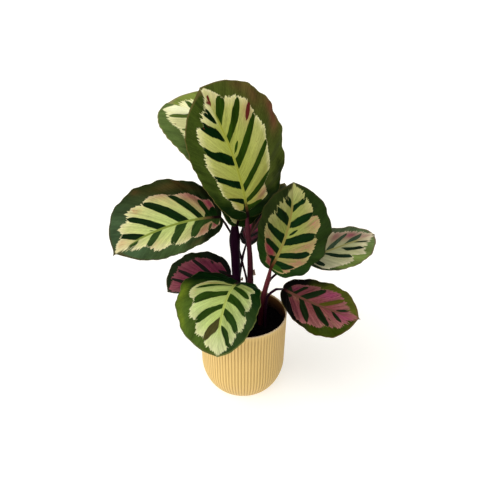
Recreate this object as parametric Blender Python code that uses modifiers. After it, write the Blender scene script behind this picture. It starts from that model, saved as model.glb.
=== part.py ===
"""A potted rose-painted calathea: nine leaves on their stalks, potting soil and a ribbed plastic pot.

Metres, +Z up. The origin is the middle of the pot's underside, and the plant is seen from -Y.
"""

import math
from dataclasses import dataclass, field

import bmesh
import bpy
from mathutils import Matrix, Vector

MM = 0.001
GAP = 0.3 * MM
WELD = 0.01 * MM

# Pot: a 14 cm ribbed pot whose wall rounds into a small flat base.
POT_RIM_RADIUS = 70 * MM
POT_WALL_RADIUS = 68 * MM
POT_BASE_RADIUS = 38 * MM
POT_HEIGHT = 138 * MM
POT_ROUND_HEIGHT = 50 * MM
POT_ROUND_POWER = 1.15
POT_ROUND_STEPS = 6
POT_WALL = 2.2 * MM
POT_FLOOR = 3.0 * MM
POT_HOLLOW_STEPS = 48
POT_HOLLOW_OVERRUN = 12 * MM
RIB_COUNT = 84
RIB_DEPTH = 0.9 * MM
RIB_TOP = POT_HEIGHT - 3 * MM
RIB_BOTTOM = 5 * MM

# Soil: its level above the table, its lumps and the holes that the stalks stand in.
SOIL_LEVEL = 118 * MM
SOIL_LUMP = 1.6 * MM
LUMP_WAVES = (0.21, 0.17)  # radians per millimetre, along X and Y
CRUMB_WAVES = (0.43, 0.38)
SOIL_SHOULDER = 10 * MM  # the top ring's drop to the wall
SOIL_RINGS = 5
SOIL_STEPS = 40
HOLE_DEPTH = 24 * MM
HOLE_CLEARANCE = 0.5 * MM
HOLE_SIDES = 16

# Blades: the grid that each is bent from, its thickness and the lobes beside its stalk.
BLADE_THICKNESS = 0.8 * MM
BLADE_STATIONS = 25
BLADE_COLUMNS = 4
BLADE_LOBE = 0.1
BLADE_CURL = -12
SPINE_STEPS = 48
VEIN_SPREAD = 0.12
KEEL_SHARE = 0.4
KEEL_POINTS = 7
KEEL_NARROWING = 0.85
KEEL_TIP_RADIUS = 0.7  # mm
KEEL_SINK = 0.15  # mm below the blade's upper surface
SHARP_ANGLE = math.radians(50)

# Stalks: points on each smooth route, and the sides of its tube.
STALK_POINTS_PER_SPAN = 2
STALK_SIDES_RESOLUTION = 2


@dataclass
class Leaf:
    """One leaf. Lengths are in millimetres, angles in degrees. Left and right are seen along the midrib."""

    name: str
    base: tuple  # where the stalk meets the blade
    heading: float  # the midrib's first direction, round +Z from +X
    rise: float  # its first slope above the horizontal
    roll: float  # the blade's turn about its midrib
    length: float
    left: float  # half widths
    right: float
    droop: float  # how far the midrib bends towards the underside
    sweep: float  # how far it bends to its left
    twist: float
    fold: tuple  # how far each half rises from the midrib
    taper: tuple  # how hollow each edge runs to the tip
    shoulder: float  # above 0 each half is wider near its base
    route: list  # the stalk's points from the soil up to the base: x, y, z and radius
    ruffle: tuple = (0.8, 0.8)  # height of the waves of each edge
    waves: float = 7
    phase: float = 0
    colour: tuple = (0.10, 0.20, 0.06)
    frames: list = field(default_factory=list)


LEAVES = [
    Leaf(
        "leaf_top", (7, 4, 304), 132, 79, -6, 200, 62, 91, 11, 22, -13, (3, 3), (1.05, 0.2), -0.09,
        [(12.5, 3, 118, 4.6), (12, 3, 150, 4.5), (11.5, 3, 190, 4.2), (12, 3, 220, 3.8), (12, 3, 240, 3.5),
         (10.2, 3, 261, 3.2), (8.2, 3.3, 282, 2.9)],
        ruffle=(0.8, 1.6), waves=8,
    ),
    Leaf(
        "leaf_back", (-10, 20, 283), 39, 66, 85, 247, 86, 92, 77, 62, -9, (19, -4), (-0.2, 1.14), -0.27,
        [(-12, 10, 118, 6.0), (-11.5, 11, 149, 6.0), (-10.5, 13, 188, 6.0), (-11.3, 15, 211, 6.2),
         (-12, 17, 232, 6.4), (-13.2, 19, 254, 7.0), (-13, 19.6, 269, 5.6)],
        ruffle=(0.8, 0.8), waves=8,
    ),
    Leaf(
        "leaf_left", (-33, 13, 300), 197, 7, -33, 168, 48, 77, 23, 27, -1, (7, 12), (1.4, 0.37), -0.03,
        [(4, 15, 118, 1.9), (5.5, 15, 149, 1.9), (6, 16, 183, 1.8), (-0.3, 24, 211, 1.7),
         (-8, 29, 240, 1.6), (-19, 28, 265, 1.6), (-27, 20, 285, 1.6)],
        ruffle=(1.0, 1.0), waves=7,
    ),
    Leaf(
        "leaf_low_left", (-19, 18, 195), 187, -6, -55, 114, 37, 48, 37, 10, -4, (-59, 9), (0.57, 0.5), 0.03,
        [(-23, 21, 118, 2.2), (-21, 22, 140, 2.1), (-17, 23, 165, 2.0), (-15, 21.5, 185, 1.9)],
        ruffle=(0.8, 1.0), waves=6, colour=(0.25, 0.05, 0.12),
    ),
    Leaf(
        "leaf_front", (-6, -7, 198), 248, 23, 1, 154, 51, 69, 74, 21, -8, (9, 18), (0.1, 0.55), 0.0,
        [(-1, -13, 118, 2.6), (-0.5, -10, 140, 2.5), (0, -5, 165, 2.3), (-1.5, -3, 185, 2.1)],
        ruffle=(1.0, 1.2), waves=7,
    ),
    Leaf(
        "leaf_right", (41, -10, 223), 10, 60, 59, 144, 44, 63, -14, 31, 3, (12, 10), (1.05, 0.5), -0.04,
        [(28, -6, 118, 4.2), (29, -6.5, 140, 4.0), (30.5, -7.5, 160, 3.8), (34, -9, 184, 3.3),
         (38.5, -10, 205, 2.7)],
        ruffle=(0.8, 2.6), waves=6.5, phase=100,
    ),
    Leaf(
        "leaf_far_right", (101, 35, 214), 22, 12, 13, 127, 43, 48, 5, -1, 1, (7, 7), (0.3, 0.77), 0.08,
        [(30, 9, 118, 2.2), (32, 7, 145, 2.1), (35, 6, 166, 2.0), (39, 9, 185, 1.9), (52, 18, 197, 1.9),
         (76, 28, 204, 1.8)],
        ruffle=(1.0, 1.6), waves=6,
    ),
    Leaf(
        "leaf_low_right", (61, -15, 191), -12, -27, 30, 125, 40, 48, -20, 7, 8, (12, 12), (0.67, 1.15), -0.15,
        [(36, -15, 118, 2.2), (35.5, -14.5, 145, 2.1), (36.5, -15, 172, 2.0), (42, -17, 184, 1.9),
         (51, -16.5, 191, 1.8)],
        ruffle=(0.8, 1.4), waves=6, colour=(0.25, 0.05, 0.12),
    ),
    Leaf(
        "leaf_inner", (3, 31, 244), 37, 54, -15, 117, 43, 41, 17, 12, -3, (6, 9), (0.5, 0.55), 0.05,
        [(-7.5, 25, 118, 2.1), (-7.5, 23.5, 150, 2.0), (-6.5, 21, 181, 1.9), (-3.5, 27, 204, 1.8),
         (-0.2, 30.5, 225, 1.7)],
        ruffle=(0.8, 0.8), waves=6,
    ),
]


def clear_scene():
    """Remove every object that the scene starts with."""
    for thing in list(bpy.data.objects):
        bpy.data.objects.remove(thing, do_unlink=True)


def new_collection(name):
    """Return a new collection linked to the scene."""
    group = bpy.data.collections.new(name)
    bpy.context.scene.collection.children.link(group)
    return group


def painted(name, colour, roughness):
    """Return a plain material for one piece."""
    paint = bpy.data.materials.new(name)
    paint.use_nodes = True
    shader = paint.node_tree.nodes["Principled BSDF"]
    shader.inputs["Base Color"].default_value = (*colour, 1)
    shader.inputs["Roughness"].default_value = roughness
    shader.inputs["Metallic"].default_value = 0
    return paint


def add_object(name, data, group, paint=None):
    """Link a new object that holds this mesh or curve to a collection."""
    piece = bpy.data.objects.new(name, data)
    group.objects.link(piece)
    if paint:
        data.materials.append(paint)
    return piece


def hide_as_cutter(piece):
    """Mark an object that only shapes another one."""
    piece.hide_render = True
    piece.display_type = "WIRE"


def baked(piece):
    """Return a new mesh of the object as its modifiers leave it, with its doubles merged."""
    bpy.context.view_layer.update()
    shaped = piece.evaluated_get(bpy.context.evaluated_depsgraph_get())
    data = bpy.data.meshes.new_from_object(shaped)
    shape = bmesh.new()
    shape.from_mesh(data)
    bmesh.ops.remove_doubles(shape, verts=shape.verts, dist=WELD)
    bmesh.ops.recalc_face_normals(shape, faces=shape.faces)
    shape.to_mesh(data)
    shape.free()
    return data


def add_boolean(piece, other, operation):
    """Cut or join another object with this one."""
    step = piece.modifiers.new(operation.title(), "BOOLEAN")
    step.operation = operation
    step.solver = "EXACT"
    step.object = other


def turned(name, outline, steps, group):
    """Return an object turned from radius and height points that run down its outer side."""
    data = bpy.data.meshes.new(name)
    edges = [(i, i + 1) for i in range(len(outline) - 1)]
    data.from_pydata([(radius, 0, height) for radius, height in outline], edges, [])
    piece = add_object(name, data, group)
    screw = piece.modifiers.new("Screw", "SCREW")
    screw.steps = steps
    screw.render_steps = steps
    screw.use_merge_vertices = True
    screw.merge_threshold = WELD
    screw.use_smooth_shade = False
    return piece


def pot_outline(inset=0.0):
    """Return the wall's radius and height points from the rim to the base, moved in by an inset."""
    points = [Vector((POT_RIM_RADIUS, POT_HEIGHT)), Vector((POT_RIM_RADIUS, RIB_TOP))]
    for step in range(POT_ROUND_STEPS + 1):
        turn = math.radians(90 * step / POT_ROUND_STEPS)
        across = max(math.cos(turn), 0) ** POT_ROUND_POWER
        down = math.sin(turn) ** POT_ROUND_POWER
        radius = POT_BASE_RADIUS + (POT_WALL_RADIUS - POT_BASE_RADIUS) * across
        points.append(Vector((radius, POT_ROUND_HEIGHT * (1 - down))))
    moved = []
    for index, point in enumerate(points):
        before = points[max(index - 1, 0)]
        after = points[min(index + 1, len(points) - 1)]
        along = (after - before).normalized()
        moved.append(point + Vector((along.y, -along.x)) * inset)
    return moved


def above_floor(outline, floor):
    """Return the outline cut off level at a floor, with its last point on it."""
    kept = [point for point in outline if point.y > floor]
    below = outline[len(kept)]
    last = kept[-1]
    share = (last.y - floor) / (last.y - below.y)
    return kept + [last.lerp(below, share)]


def build_pot(group, cutters):
    """Make the pot: a ribbed turned body, hollowed by a turned cutter."""
    outside = [Vector((0, POT_HEIGHT))] + pot_outline() + [Vector((0, 0))]
    blank = turned("pot_blank", outside, 2 * RIB_COUNT, cutters)
    data = baked(blank)
    bpy.data.objects.remove(blank, do_unlink=True)
    for vertex in data.vertices:
        radius = math.hypot(vertex.co.x, vertex.co.y)
        half_rib = round(math.atan2(vertex.co.y, vertex.co.x) / math.pi * RIB_COUNT)
        in_groove = half_rib % 2 == 1 and RIB_BOTTOM < vertex.co.z < RIB_TOP + MM
        if in_groove:
            vertex.co.xy *= (radius - RIB_DEPTH) / radius
    pot = add_object("pot", data, group, painted("pot_plastic", (0.72, 0.49, 0.18), 0.55))
    pot.data.name = "pot"
    inner = above_floor(pot_outline(POT_WALL), POT_FLOOR)
    inner[0].y = POT_HEIGHT + POT_HOLLOW_OVERRUN
    inner = [Vector((0, inner[0].y))] + inner + [Vector((0, POT_FLOOR))]
    hollow = turned("pot_hollow", inner, POT_HOLLOW_STEPS, cutters)
    hide_as_cutter(hollow)
    add_boolean(pot, hollow, "DIFFERENCE")


def soil_height(x, y):
    """Return how far the soil's surface stands above its level at a place."""
    lumps = math.sin(x / MM * LUMP_WAVES[0] + 1) * math.sin(y / MM * LUMP_WAVES[1])
    crumbs = math.sin(x / MM * CRUMB_WAVES[0] + y / MM * CRUMB_WAVES[1])
    return SOIL_LUMP * (lumps + crumbs / 2)


def build_soil(group, cutters):
    """Make the soil: it fills the pot up to its uneven surface, with a plain hole round each stalk."""
    wall = above_floor(pot_outline(POT_WALL + GAP), POT_FLOOR + GAP)
    wall = [point for point in wall if point.y < SOIL_LEVEL - SOIL_SHOULDER]
    edge = POT_WALL_RADIUS - POT_WALL - 2 * GAP
    top = [Vector((edge * ring / SOIL_RINGS, SOIL_LEVEL)) for ring in range(SOIL_RINGS + 1)]
    blank = turned("soil_blank", top + wall + [Vector((0, POT_FLOOR + GAP))], SOIL_STEPS, cutters)
    data = baked(blank)
    bpy.data.objects.remove(blank, do_unlink=True)
    for vertex in data.vertices:
        if vertex.co.z > SOIL_LEVEL - MM:
            vertex.co.z += soil_height(vertex.co.x, vertex.co.y)
    soil = add_object("soil", data, group, painted("potting_soil", (0.02, 0.014, 0.01), 0.95))
    for leaf in LEAVES:
        x, y, z, stalk_radius = leaf.route[0]
        radius = stalk_radius * MM + HOLE_CLEARANCE
        place = Matrix.Translation(Vector((x, y, z)) * MM)
        shape = bmesh.new()
        bmesh.ops.create_cone(
            shape, cap_ends=True, segments=HOLE_SIDES, radius1=radius, radius2=radius,
            depth=2 * HOLE_DEPTH, matrix=place,
        )
        data = bpy.data.meshes.new(leaf.name + "_hole")
        shape.to_mesh(data)
        shape.free()
        hole = add_object(leaf.name + "_hole", data, cutters)
        hide_as_cutter(hole)
        add_boolean(soil, hole, "DIFFERENCE")


def turn(degrees, axis):
    """Return a rotation about one axis."""
    return Matrix.Rotation(math.radians(degrees), 3, axis)


def midrib(leaf):
    """Return the midrib's points and frames. A frame's columns run along it, to its left and up."""
    frame = turn(leaf.heading, "Z") @ turn(-leaf.rise, "Y") @ turn(leaf.roll, "X")
    point = Vector(leaf.base) * MM
    step = leaf.length * MM / SPINE_STEPS
    bend = turn(leaf.droop / SPINE_STEPS, "Y") @ turn(leaf.sweep / SPINE_STEPS, "Z")
    bend = bend @ turn(leaf.twist / SPINE_STEPS, "X")
    frames = [(point.copy(), frame.copy())]
    for _ in range(SPINE_STEPS):
        frame = frame @ bend
        point = point + frame.col[0] * step
        frames.append((point.copy(), frame.copy()))
    return frames


def on_blade(leaf, along, across):
    """Return a point of the upper surface, by its side vein, 0 to 1, and place across, 1 to -1 from the left."""
    side = 0 if across > 0 else 1
    out = abs(across)
    angle = math.pi * along
    width = (leaf.left, leaf.right)[side] * MM
    length = leaf.length * MM
    lobe = BLADE_LOBE * math.sin(angle) * (1 - along) ** 3
    edge_x = length * ((1 - math.cos(angle)) / 2 - lobe)
    hollow = 1 + leaf.taper[side] * along**4
    edge_y = width * max(math.sin(angle), 0) ** hollow * (1 + leaf.shoulder * math.cos(angle))
    vein_x = length * (VEIN_SPREAD * along + (1 - VEIN_SPREAD) * along**3)
    wave = math.sin(2 * math.pi * leaf.waves * along + math.radians(leaf.phase) + side) * math.sin(angle)
    ruffle = leaf.ruffle[side] * MM * wave
    x = vein_x + (edge_x - vein_x) * out
    y = edge_y * out + ruffle * out**4
    place = min(x / length * SPINE_STEPS, SPINE_STEPS)
    index = min(max(int(place), 0), SPINE_STEPS - 1)
    share = place - index
    start, start_frame = leaf.frames[index]
    end, end_frame = leaf.frames[index + 1]
    middle = start.lerp(end, share)
    frame = start_frame * (1 - share) + end_frame * share
    lift = math.radians(leaf.fold[side] + BLADE_CURL * y / width / 2)
    sign = 1 if side == 0 else -1
    rise = y * math.sin(lift) + ruffle * out**2
    return middle + frame.col[1] * sign * y * math.cos(lift) + frame.col[2] * rise


def blade_mesh(leaf):
    """Return the upper surface as an open grid, bent to shape and split into triangles."""
    shape = bmesh.new()
    bmesh.ops.create_grid(shape, x_segments=BLADE_STATIONS, y_segments=2 * BLADE_COLUMNS, size=1)
    for vertex in shape.verts:
        along = min(max((vertex.co.x + 1) / 2, 0), 1)
        vertex.co = on_blade(leaf, along, vertex.co.y)
    bmesh.ops.remove_doubles(shape, verts=shape.verts, dist=2 * WELD)
    bmesh.ops.triangulate(shape, faces=shape.faces, quad_method="SHORT_EDGE")
    data = bpy.data.meshes.new(leaf.name)
    shape.to_mesh(data)
    shape.free()
    return data


def smooth_route(points):
    """Return points on a Catmull-Rom curve through x, y, z and radius points."""
    route = []
    for index in range(len(points) - 1):
        before = Vector(points[max(index - 1, 0)])
        start = Vector(points[index])
        end = Vector(points[index + 1])
        after = Vector(points[min(index + 2, len(points) - 1)])
        for step in range(STALK_POINTS_PER_SPAN):
            t = step / STALK_POINTS_PER_SPAN
            bend = (2 * before - 5 * start + 4 * end - after) * t**2
            close = (3 * start - before - 3 * end + after) * t**3
            route.append((2 * start + (end - before) * t + bend + close) / 2)
    return route + [Vector(points[-1])]


def stalk_points(leaf):
    """Return the stalk's points: from its hole in the soil up to the blade, and on below the midrib."""
    foot = leaf.route[0]
    points = [(foot[0], foot[1], foot[2] - (HOLE_DEPTH - GAP) / MM, foot[3])] + smooth_route(leaf.route)
    top_radius = leaf.route[-1][3] * KEEL_NARROWING
    last = int(SPINE_STEPS * KEEL_SHARE)
    for step in range(KEEL_POINTS + 1):
        share = step / KEEL_POINTS
        place, frame = leaf.frames[round(last * share)]
        radius = top_radius + (KEEL_TIP_RADIUS - top_radius) * share
        centre = place / MM - frame.col[2] * (radius + KEEL_SINK)
        points.append((*centre, radius))
    return points


def stalk_object(leaf, cutters):
    """Make the stalk and keel as one tube, as a mesh to be joined to the blade."""
    curve = bpy.data.curves.new(leaf.name + "_stalk", "CURVE")
    curve.dimensions = "3D"
    curve.bevel_depth = MM
    curve.bevel_resolution = STALK_SIDES_RESOLUTION
    curve.use_fill_caps = True
    points = stalk_points(leaf)
    spline = curve.splines.new("POLY")
    spline.points.add(len(points) - 1)
    for place, (x, y, z, radius) in zip(spline.points, points):
        place.co = (x * MM, y * MM, z * MM, 1)
        place.radius = radius
    tube = add_object(curve.name, curve, cutters)
    data = baked(tube)
    bpy.data.objects.remove(tube, do_unlink=True)
    stalk = add_object(leaf.name + "_stalk", data, cutters)
    hide_as_cutter(stalk)
    return stalk


def build_leaf(leaf, group, cutters):
    """Make one leaf: a thin bent blade joined to its stalk."""
    leaf.frames = midrib(leaf)
    blade = add_object(leaf.name, blade_mesh(leaf), group, painted(leaf.name, leaf.colour, 0.4))
    solid = blade.modifiers.new("Solidify", "SOLIDIFY")
    solid.thickness = BLADE_THICKNESS
    solid.offset = -1
    solid.use_even_offset = False
    add_boolean(blade, stalk_object(leaf, cutters), "UNION")
    blade.data.shade_smooth()
    blade.data.set_sharp_from_angle(angle=SHARP_ANGLE)


def main():
    """Build the plant and its pot."""
    clear_scene()
    plant = new_collection("potted_calathea")
    cutters = new_collection("cutters")
    build_pot(plant, cutters)
    build_soil(plant, cutters)
    for leaf in LEAVES:
        build_leaf(leaf, plant, cutters)


main()
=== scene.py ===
"""The looks of a potted rose-painted calathea: fine leaves, stalks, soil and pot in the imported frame's place.

Metres, +Z up, as in the frame. Each leaf repeats the driving sizes of its solid, so its fine blade bends as
the solid does, and its markings are laid out by side vein and by place across the blade.
"""

import logging
import math
import random
from dataclasses import dataclass, field
from enum import Enum
from typing import Any

import bmesh
import bpy
from mathutils import Matrix, Vector, noise


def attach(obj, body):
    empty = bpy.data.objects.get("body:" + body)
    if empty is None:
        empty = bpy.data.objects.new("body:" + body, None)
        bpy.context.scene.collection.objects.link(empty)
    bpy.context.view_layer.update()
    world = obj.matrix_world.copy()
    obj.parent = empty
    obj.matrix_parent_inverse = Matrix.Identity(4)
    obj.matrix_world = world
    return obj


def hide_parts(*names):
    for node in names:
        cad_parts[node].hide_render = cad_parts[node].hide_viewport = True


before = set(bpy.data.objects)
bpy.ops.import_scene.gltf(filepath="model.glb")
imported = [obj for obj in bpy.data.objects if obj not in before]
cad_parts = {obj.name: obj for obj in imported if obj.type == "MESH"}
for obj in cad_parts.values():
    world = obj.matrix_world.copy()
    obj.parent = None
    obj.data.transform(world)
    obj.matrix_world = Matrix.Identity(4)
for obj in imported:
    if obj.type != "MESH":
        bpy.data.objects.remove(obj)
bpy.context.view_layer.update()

LOG = logging.getLogger("calathea")
MM = 0.001
MERGE = 0.001 * MM  # vertices closer than this are one
BODY = "root"

Colour = tuple[float, float, float]
Knots = tuple[tuple[float, float], ...]


class Slot(Enum):
    """The record's material slots."""

    POT = "pot_plastic"
    SOIL = "potting_soil"
    LEAF = "leaf"
    YOUNG_LEAF = "young_leaf"
    STALK = "stalk"
    SHEATH = "dry_sheath"


class Half(Enum):
    """The halves of a blade, as seen along its midrib from the stalk."""

    LEFT = 0
    RIGHT = 1

    @classmethod
    def at(cls, across: float) -> "Half":
        """Give the half that a place across the blade is on."""
        return cls.LEFT if across > 0 else cls.RIGHT


def tone(red: float, green: float, blue: float) -> Colour:
    """Turn display values into the linear values that a shader takes.

    Args:
        red: Red, from 0 to 255.
        green: Green, from 0 to 255.
        blue: Blue, from 0 to 255.

    Returns:
        The linear colour.
    """
    shares = (part / 255 for part in (red, green, blue))
    return tuple(share / 12.92 if share <= 0.04045 else ((share + 0.055) / 1.055) ** 2.4 for share in shares)


def ease(value: float, low: float, high: float) -> float:
    """Rise smoothly from 0 to 1.

    Args:
        value: The number to place.
        low: Where the rise starts.
        high: Where it ends.

    Returns:
        A share from 0 to 1.
    """
    share = min(max((value - low) / (high - low), 0), 1)
    return share * share * (3 - 2 * share)


def through(knots: Knots, place: float) -> float:
    """Read a smooth curve through knots.

    Args:
        knots: Pairs of place and value, by rising place.
        place: Where to read.

    Returns:
        The value there. Past either end it stays level.
    """
    last = len(knots) - 1
    index = 0
    while index < last - 1 and place > knots[index + 1][0]:
        index += 1
    start, low = knots[index]
    end, high = knots[index + 1]
    slope = (high - low) / (end - start)
    rise, fall = slope, slope
    if index > 0:
        rise = (slope + (low - knots[index - 1][1]) / (start - knots[index - 1][0])) / 2
    if index < last - 1:
        fall = (slope + (knots[index + 2][1] - high) / (knots[index + 2][0] - end)) / 2
    share = min(max((place - start) / (end - start), 0), 1)
    bend = share * (1 - share) * ((1 - share) * (rise - slope) + share * (slope - fall))
    return low + (high - low) * share + (end - start) * bend


class Wire:
    """A value on its way through a material's nodes. A sum on it adds a Math node."""

    def __init__(self, graph: "Graph", socket: bpy.types.NodeSocket) -> None:
        """Hold the socket that gives the value."""
        self.graph = graph
        self.socket = socket

    def _sum(self, operation: str, left: "Wire | float", right: "Wire | float" = 0.0) -> "Wire":
        """Add the Math node of one operation on two values."""
        return self.graph.node("ShaderNodeMath", {"operation": operation}, {0: left, 1: right})

    def __add__(self, other: "Wire | float") -> "Wire":
        """Add a value."""
        return self._sum("ADD", self, other)

    def __radd__(self, other: float) -> "Wire":
        """Add to a number."""
        return self._sum("ADD", other, self)

    def __sub__(self, other: "Wire | float") -> "Wire":
        """Take a value away."""
        return self._sum("SUBTRACT", self, other)

    def __rsub__(self, other: float) -> "Wire":
        """Take from a number."""
        return self._sum("SUBTRACT", other, self)

    def __mul__(self, other: "Wire | float") -> "Wire":
        """Multiply by a value."""
        return self._sum("MULTIPLY", self, other)

    def __abs__(self) -> "Wire":
        """Drop the sign."""
        return self._sum("ABSOLUTE", self)


class Graph:
    """The nodes of one new material."""

    def __init__(self, name: str) -> None:
        """Start a material with its surface shader.

        Args:
            name: The material's name.
        """
        self.material = bpy.data.materials.new(name)
        self.material.use_nodes = True
        self.tree = self.material.node_tree
        self.shader = self.tree.nodes["Principled BSDF"]

    def feed(self, socket: bpy.types.NodeSocket, value: Any) -> None:
        """Link a wire to a socket, or set the socket's own value.

        Args:
            socket: The input to feed.
            value: A wire, a number, a vector or a colour.
        """
        if isinstance(value, Wire):
            self.tree.links.new(value.socket, socket)
        elif socket.type == "RGBA":
            socket.default_value = (*value, 1.0)
        else:
            socket.default_value = value

    def node(self, kind: str, settings: dict[str, Any], inputs: dict[int | str, Any],
             output: int | str = 0) -> Wire:
        """Add a node.

        Args:
            kind: The node's type.
            settings: Its own settings, which are set first.
            inputs: Values or wires for its sockets, by name or place.
            output: Which output to hand on.

        Returns:
            The wire from that output.
        """
        made = self.tree.nodes.new(kind)
        for key, value in settings.items():
            setattr(made, key, value)
        for key, value in inputs.items():
            self.feed(made.inputs[key], value)
        return Wire(self, made.outputs[output])

    def mask(self, value: Wire, low: float, high: float) -> Wire:
        """Turn a value into a soft mask from 0 at low to 1 at high.

        Args:
            value: The value to read.
            low: Where the mask is 0.
            high: Where it is 1.

        Returns:
            The mask.
        """
        settings = {"interpolation_type": "SMOOTHSTEP"}
        return self.node("ShaderNodeMapRange", settings, {"Value": value, "From Min": low, "From Max": high})

    def mix(self, share: Wire, first: Wire | Colour, second: Wire | Colour) -> Wire:
        """Mix two colours.

        Args:
            share: How much of the second colour shows.
            first: The colour at 0.
            second: The colour at 1.

        Returns:
            The mixed colour.
        """
        return self.node("ShaderNodeMix", {"data_type": "RGBA"}, {0: share, 6: first, 7: second}, 2)

    def scaled(self, colour: Wire | Colour, amount: Wire) -> Wire:
        """Brighten or darken a colour by an amount."""
        return self.node("ShaderNodeVectorMath", {"operation": "SCALE"}, {0: colour, "Scale": amount})

    def noise(self, place: Wire, often: tuple[float, float, float], detail: float = 2.0) -> Wire:
        """Give soft noise around 0, from about -1 to 1.

        Args:
            place: The coordinates that it follows.
            often: How often it changes along each of them.
            detail: How many finer layers it has.

        Returns:
            The noise.
        """
        stretched = self.node("ShaderNodeVectorMath", {"operation": "MULTIPLY"}, {0: place, 1: often})
        inputs = {"Vector": stretched, "Scale": 1.0, "Detail": detail}
        return self.node("ShaderNodeTexNoise", {"noise_dimensions": "3D"}, inputs) * 4.0 - 2.0

    def attribute(self, name: str) -> Wire:
        """Read one of the mesh's own attributes."""
        return self.node("ShaderNodeAttribute", {"attribute_name": name}, {}, "Vector")

    def part(self, whole: Wire, index: int) -> Wire:
        """Give one of a vector's three numbers."""
        return self.node("ShaderNodeSeparateXYZ", {}, {0: whole}, index)

    def parts(self, name: str) -> tuple[Wire, Wire, Wire]:
        """Give the three numbers of one of the mesh's own attributes."""
        whole = self.attribute(name)
        return tuple(self.part(whole, index) for index in range(3))

    def object_place(self) -> Wire:
        """Give the place in the object's own coordinates."""
        return self.node("ShaderNodeTexCoord", {}, {}, "Object")

    def bump(self, height: Wire, distance: float) -> Wire:
        """Give the normal of a relief.

        Args:
            height: The relief, from 0 to 1.
            distance: Its full height, in metres.

        Returns:
            The normal.
        """
        inputs = {"Height": height, "Distance": distance, "Strength": 1.0}
        return self.node("ShaderNodeBump", {}, inputs, "Normal")

    def dress(self, **inputs: Any) -> bpy.types.Material:
        """Feed the surface shader and hand over the material.

        Args:
            **inputs: Values or wires for its sockets, with underscores for spaces.

        Returns:
            The finished material.
        """
        for key, value in inputs.items():
            name = key.replace("_", " ").title().replace("Ior", "IOR")
            self.feed(self.shader.inputs[name], value)
        return self.material


class BladeGraph(Graph):
    """The nodes of a blade's upper side: the markings that it reads, and the streaks along its side veins.

    Depths and distances are in millimetres. Places along and across are shares of the blade.
    """

    # how often each kind of streak changes in a millimetre, along the blade and across it
    FIBRES = (0.55, 0.045, 1.0)
    BANDS = (0.16, 0.012, 1.0)
    CELLS = (0.9, 0.5, 1.0)
    BARBS = (1.1, 0.1, 1.0)
    CLOUDS = (0.07, 0.05, 1.0)
    SPIKES = (0.28, 0.02, 1.0)
    CALM_TIP = (0.98, 0.84)  # where the zone's teeth fade out, along the blade
    MIDLINE = (-0.1, 0.1)  # where the right half's tints turn into the left half's

    def __init__(self, name: str) -> None:
        """Read the mesh's attributes and lay the streaks.

        Args:
            name: The material's name.
        """
        super().__init__(name)
        flow = self.attribute("flow")
        self.from_midrib = abs(self.part(flow, 1))
        self.along, self.across, self.from_rim = self.parts("place")
        zone, self.bar, self.blot = self.parts("marks")
        self.blush, self.rust, self.bronze = self.parts("tints")
        self.shoot = self.part(self.attribute("fresh"), 0)
        self.fibres = self.noise(flow, self.FIBRES, 3.0)
        self.bands = self.noise(flow, self.BANDS, 1.0)
        self.cells = self.noise(flow, self.CELLS, 2.0)
        self.barbs = self.noise(flow, self.BARBS, 1.0)
        self.clouds = self.noise(flow, self.CLOUDS, 1.0)
        spikes = 1.0 - abs(self.noise(flow, self.SPIKES, 1.0)) * 2.0
        teeth = spikes * 1.5 + self.barbs * 1.2 - 0.7
        self.zone = zone + teeth * self.mask(self.along, *self.CALM_TIP)
        self.on_left = self.mask(self.across, *self.MIDLINE)


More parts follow.
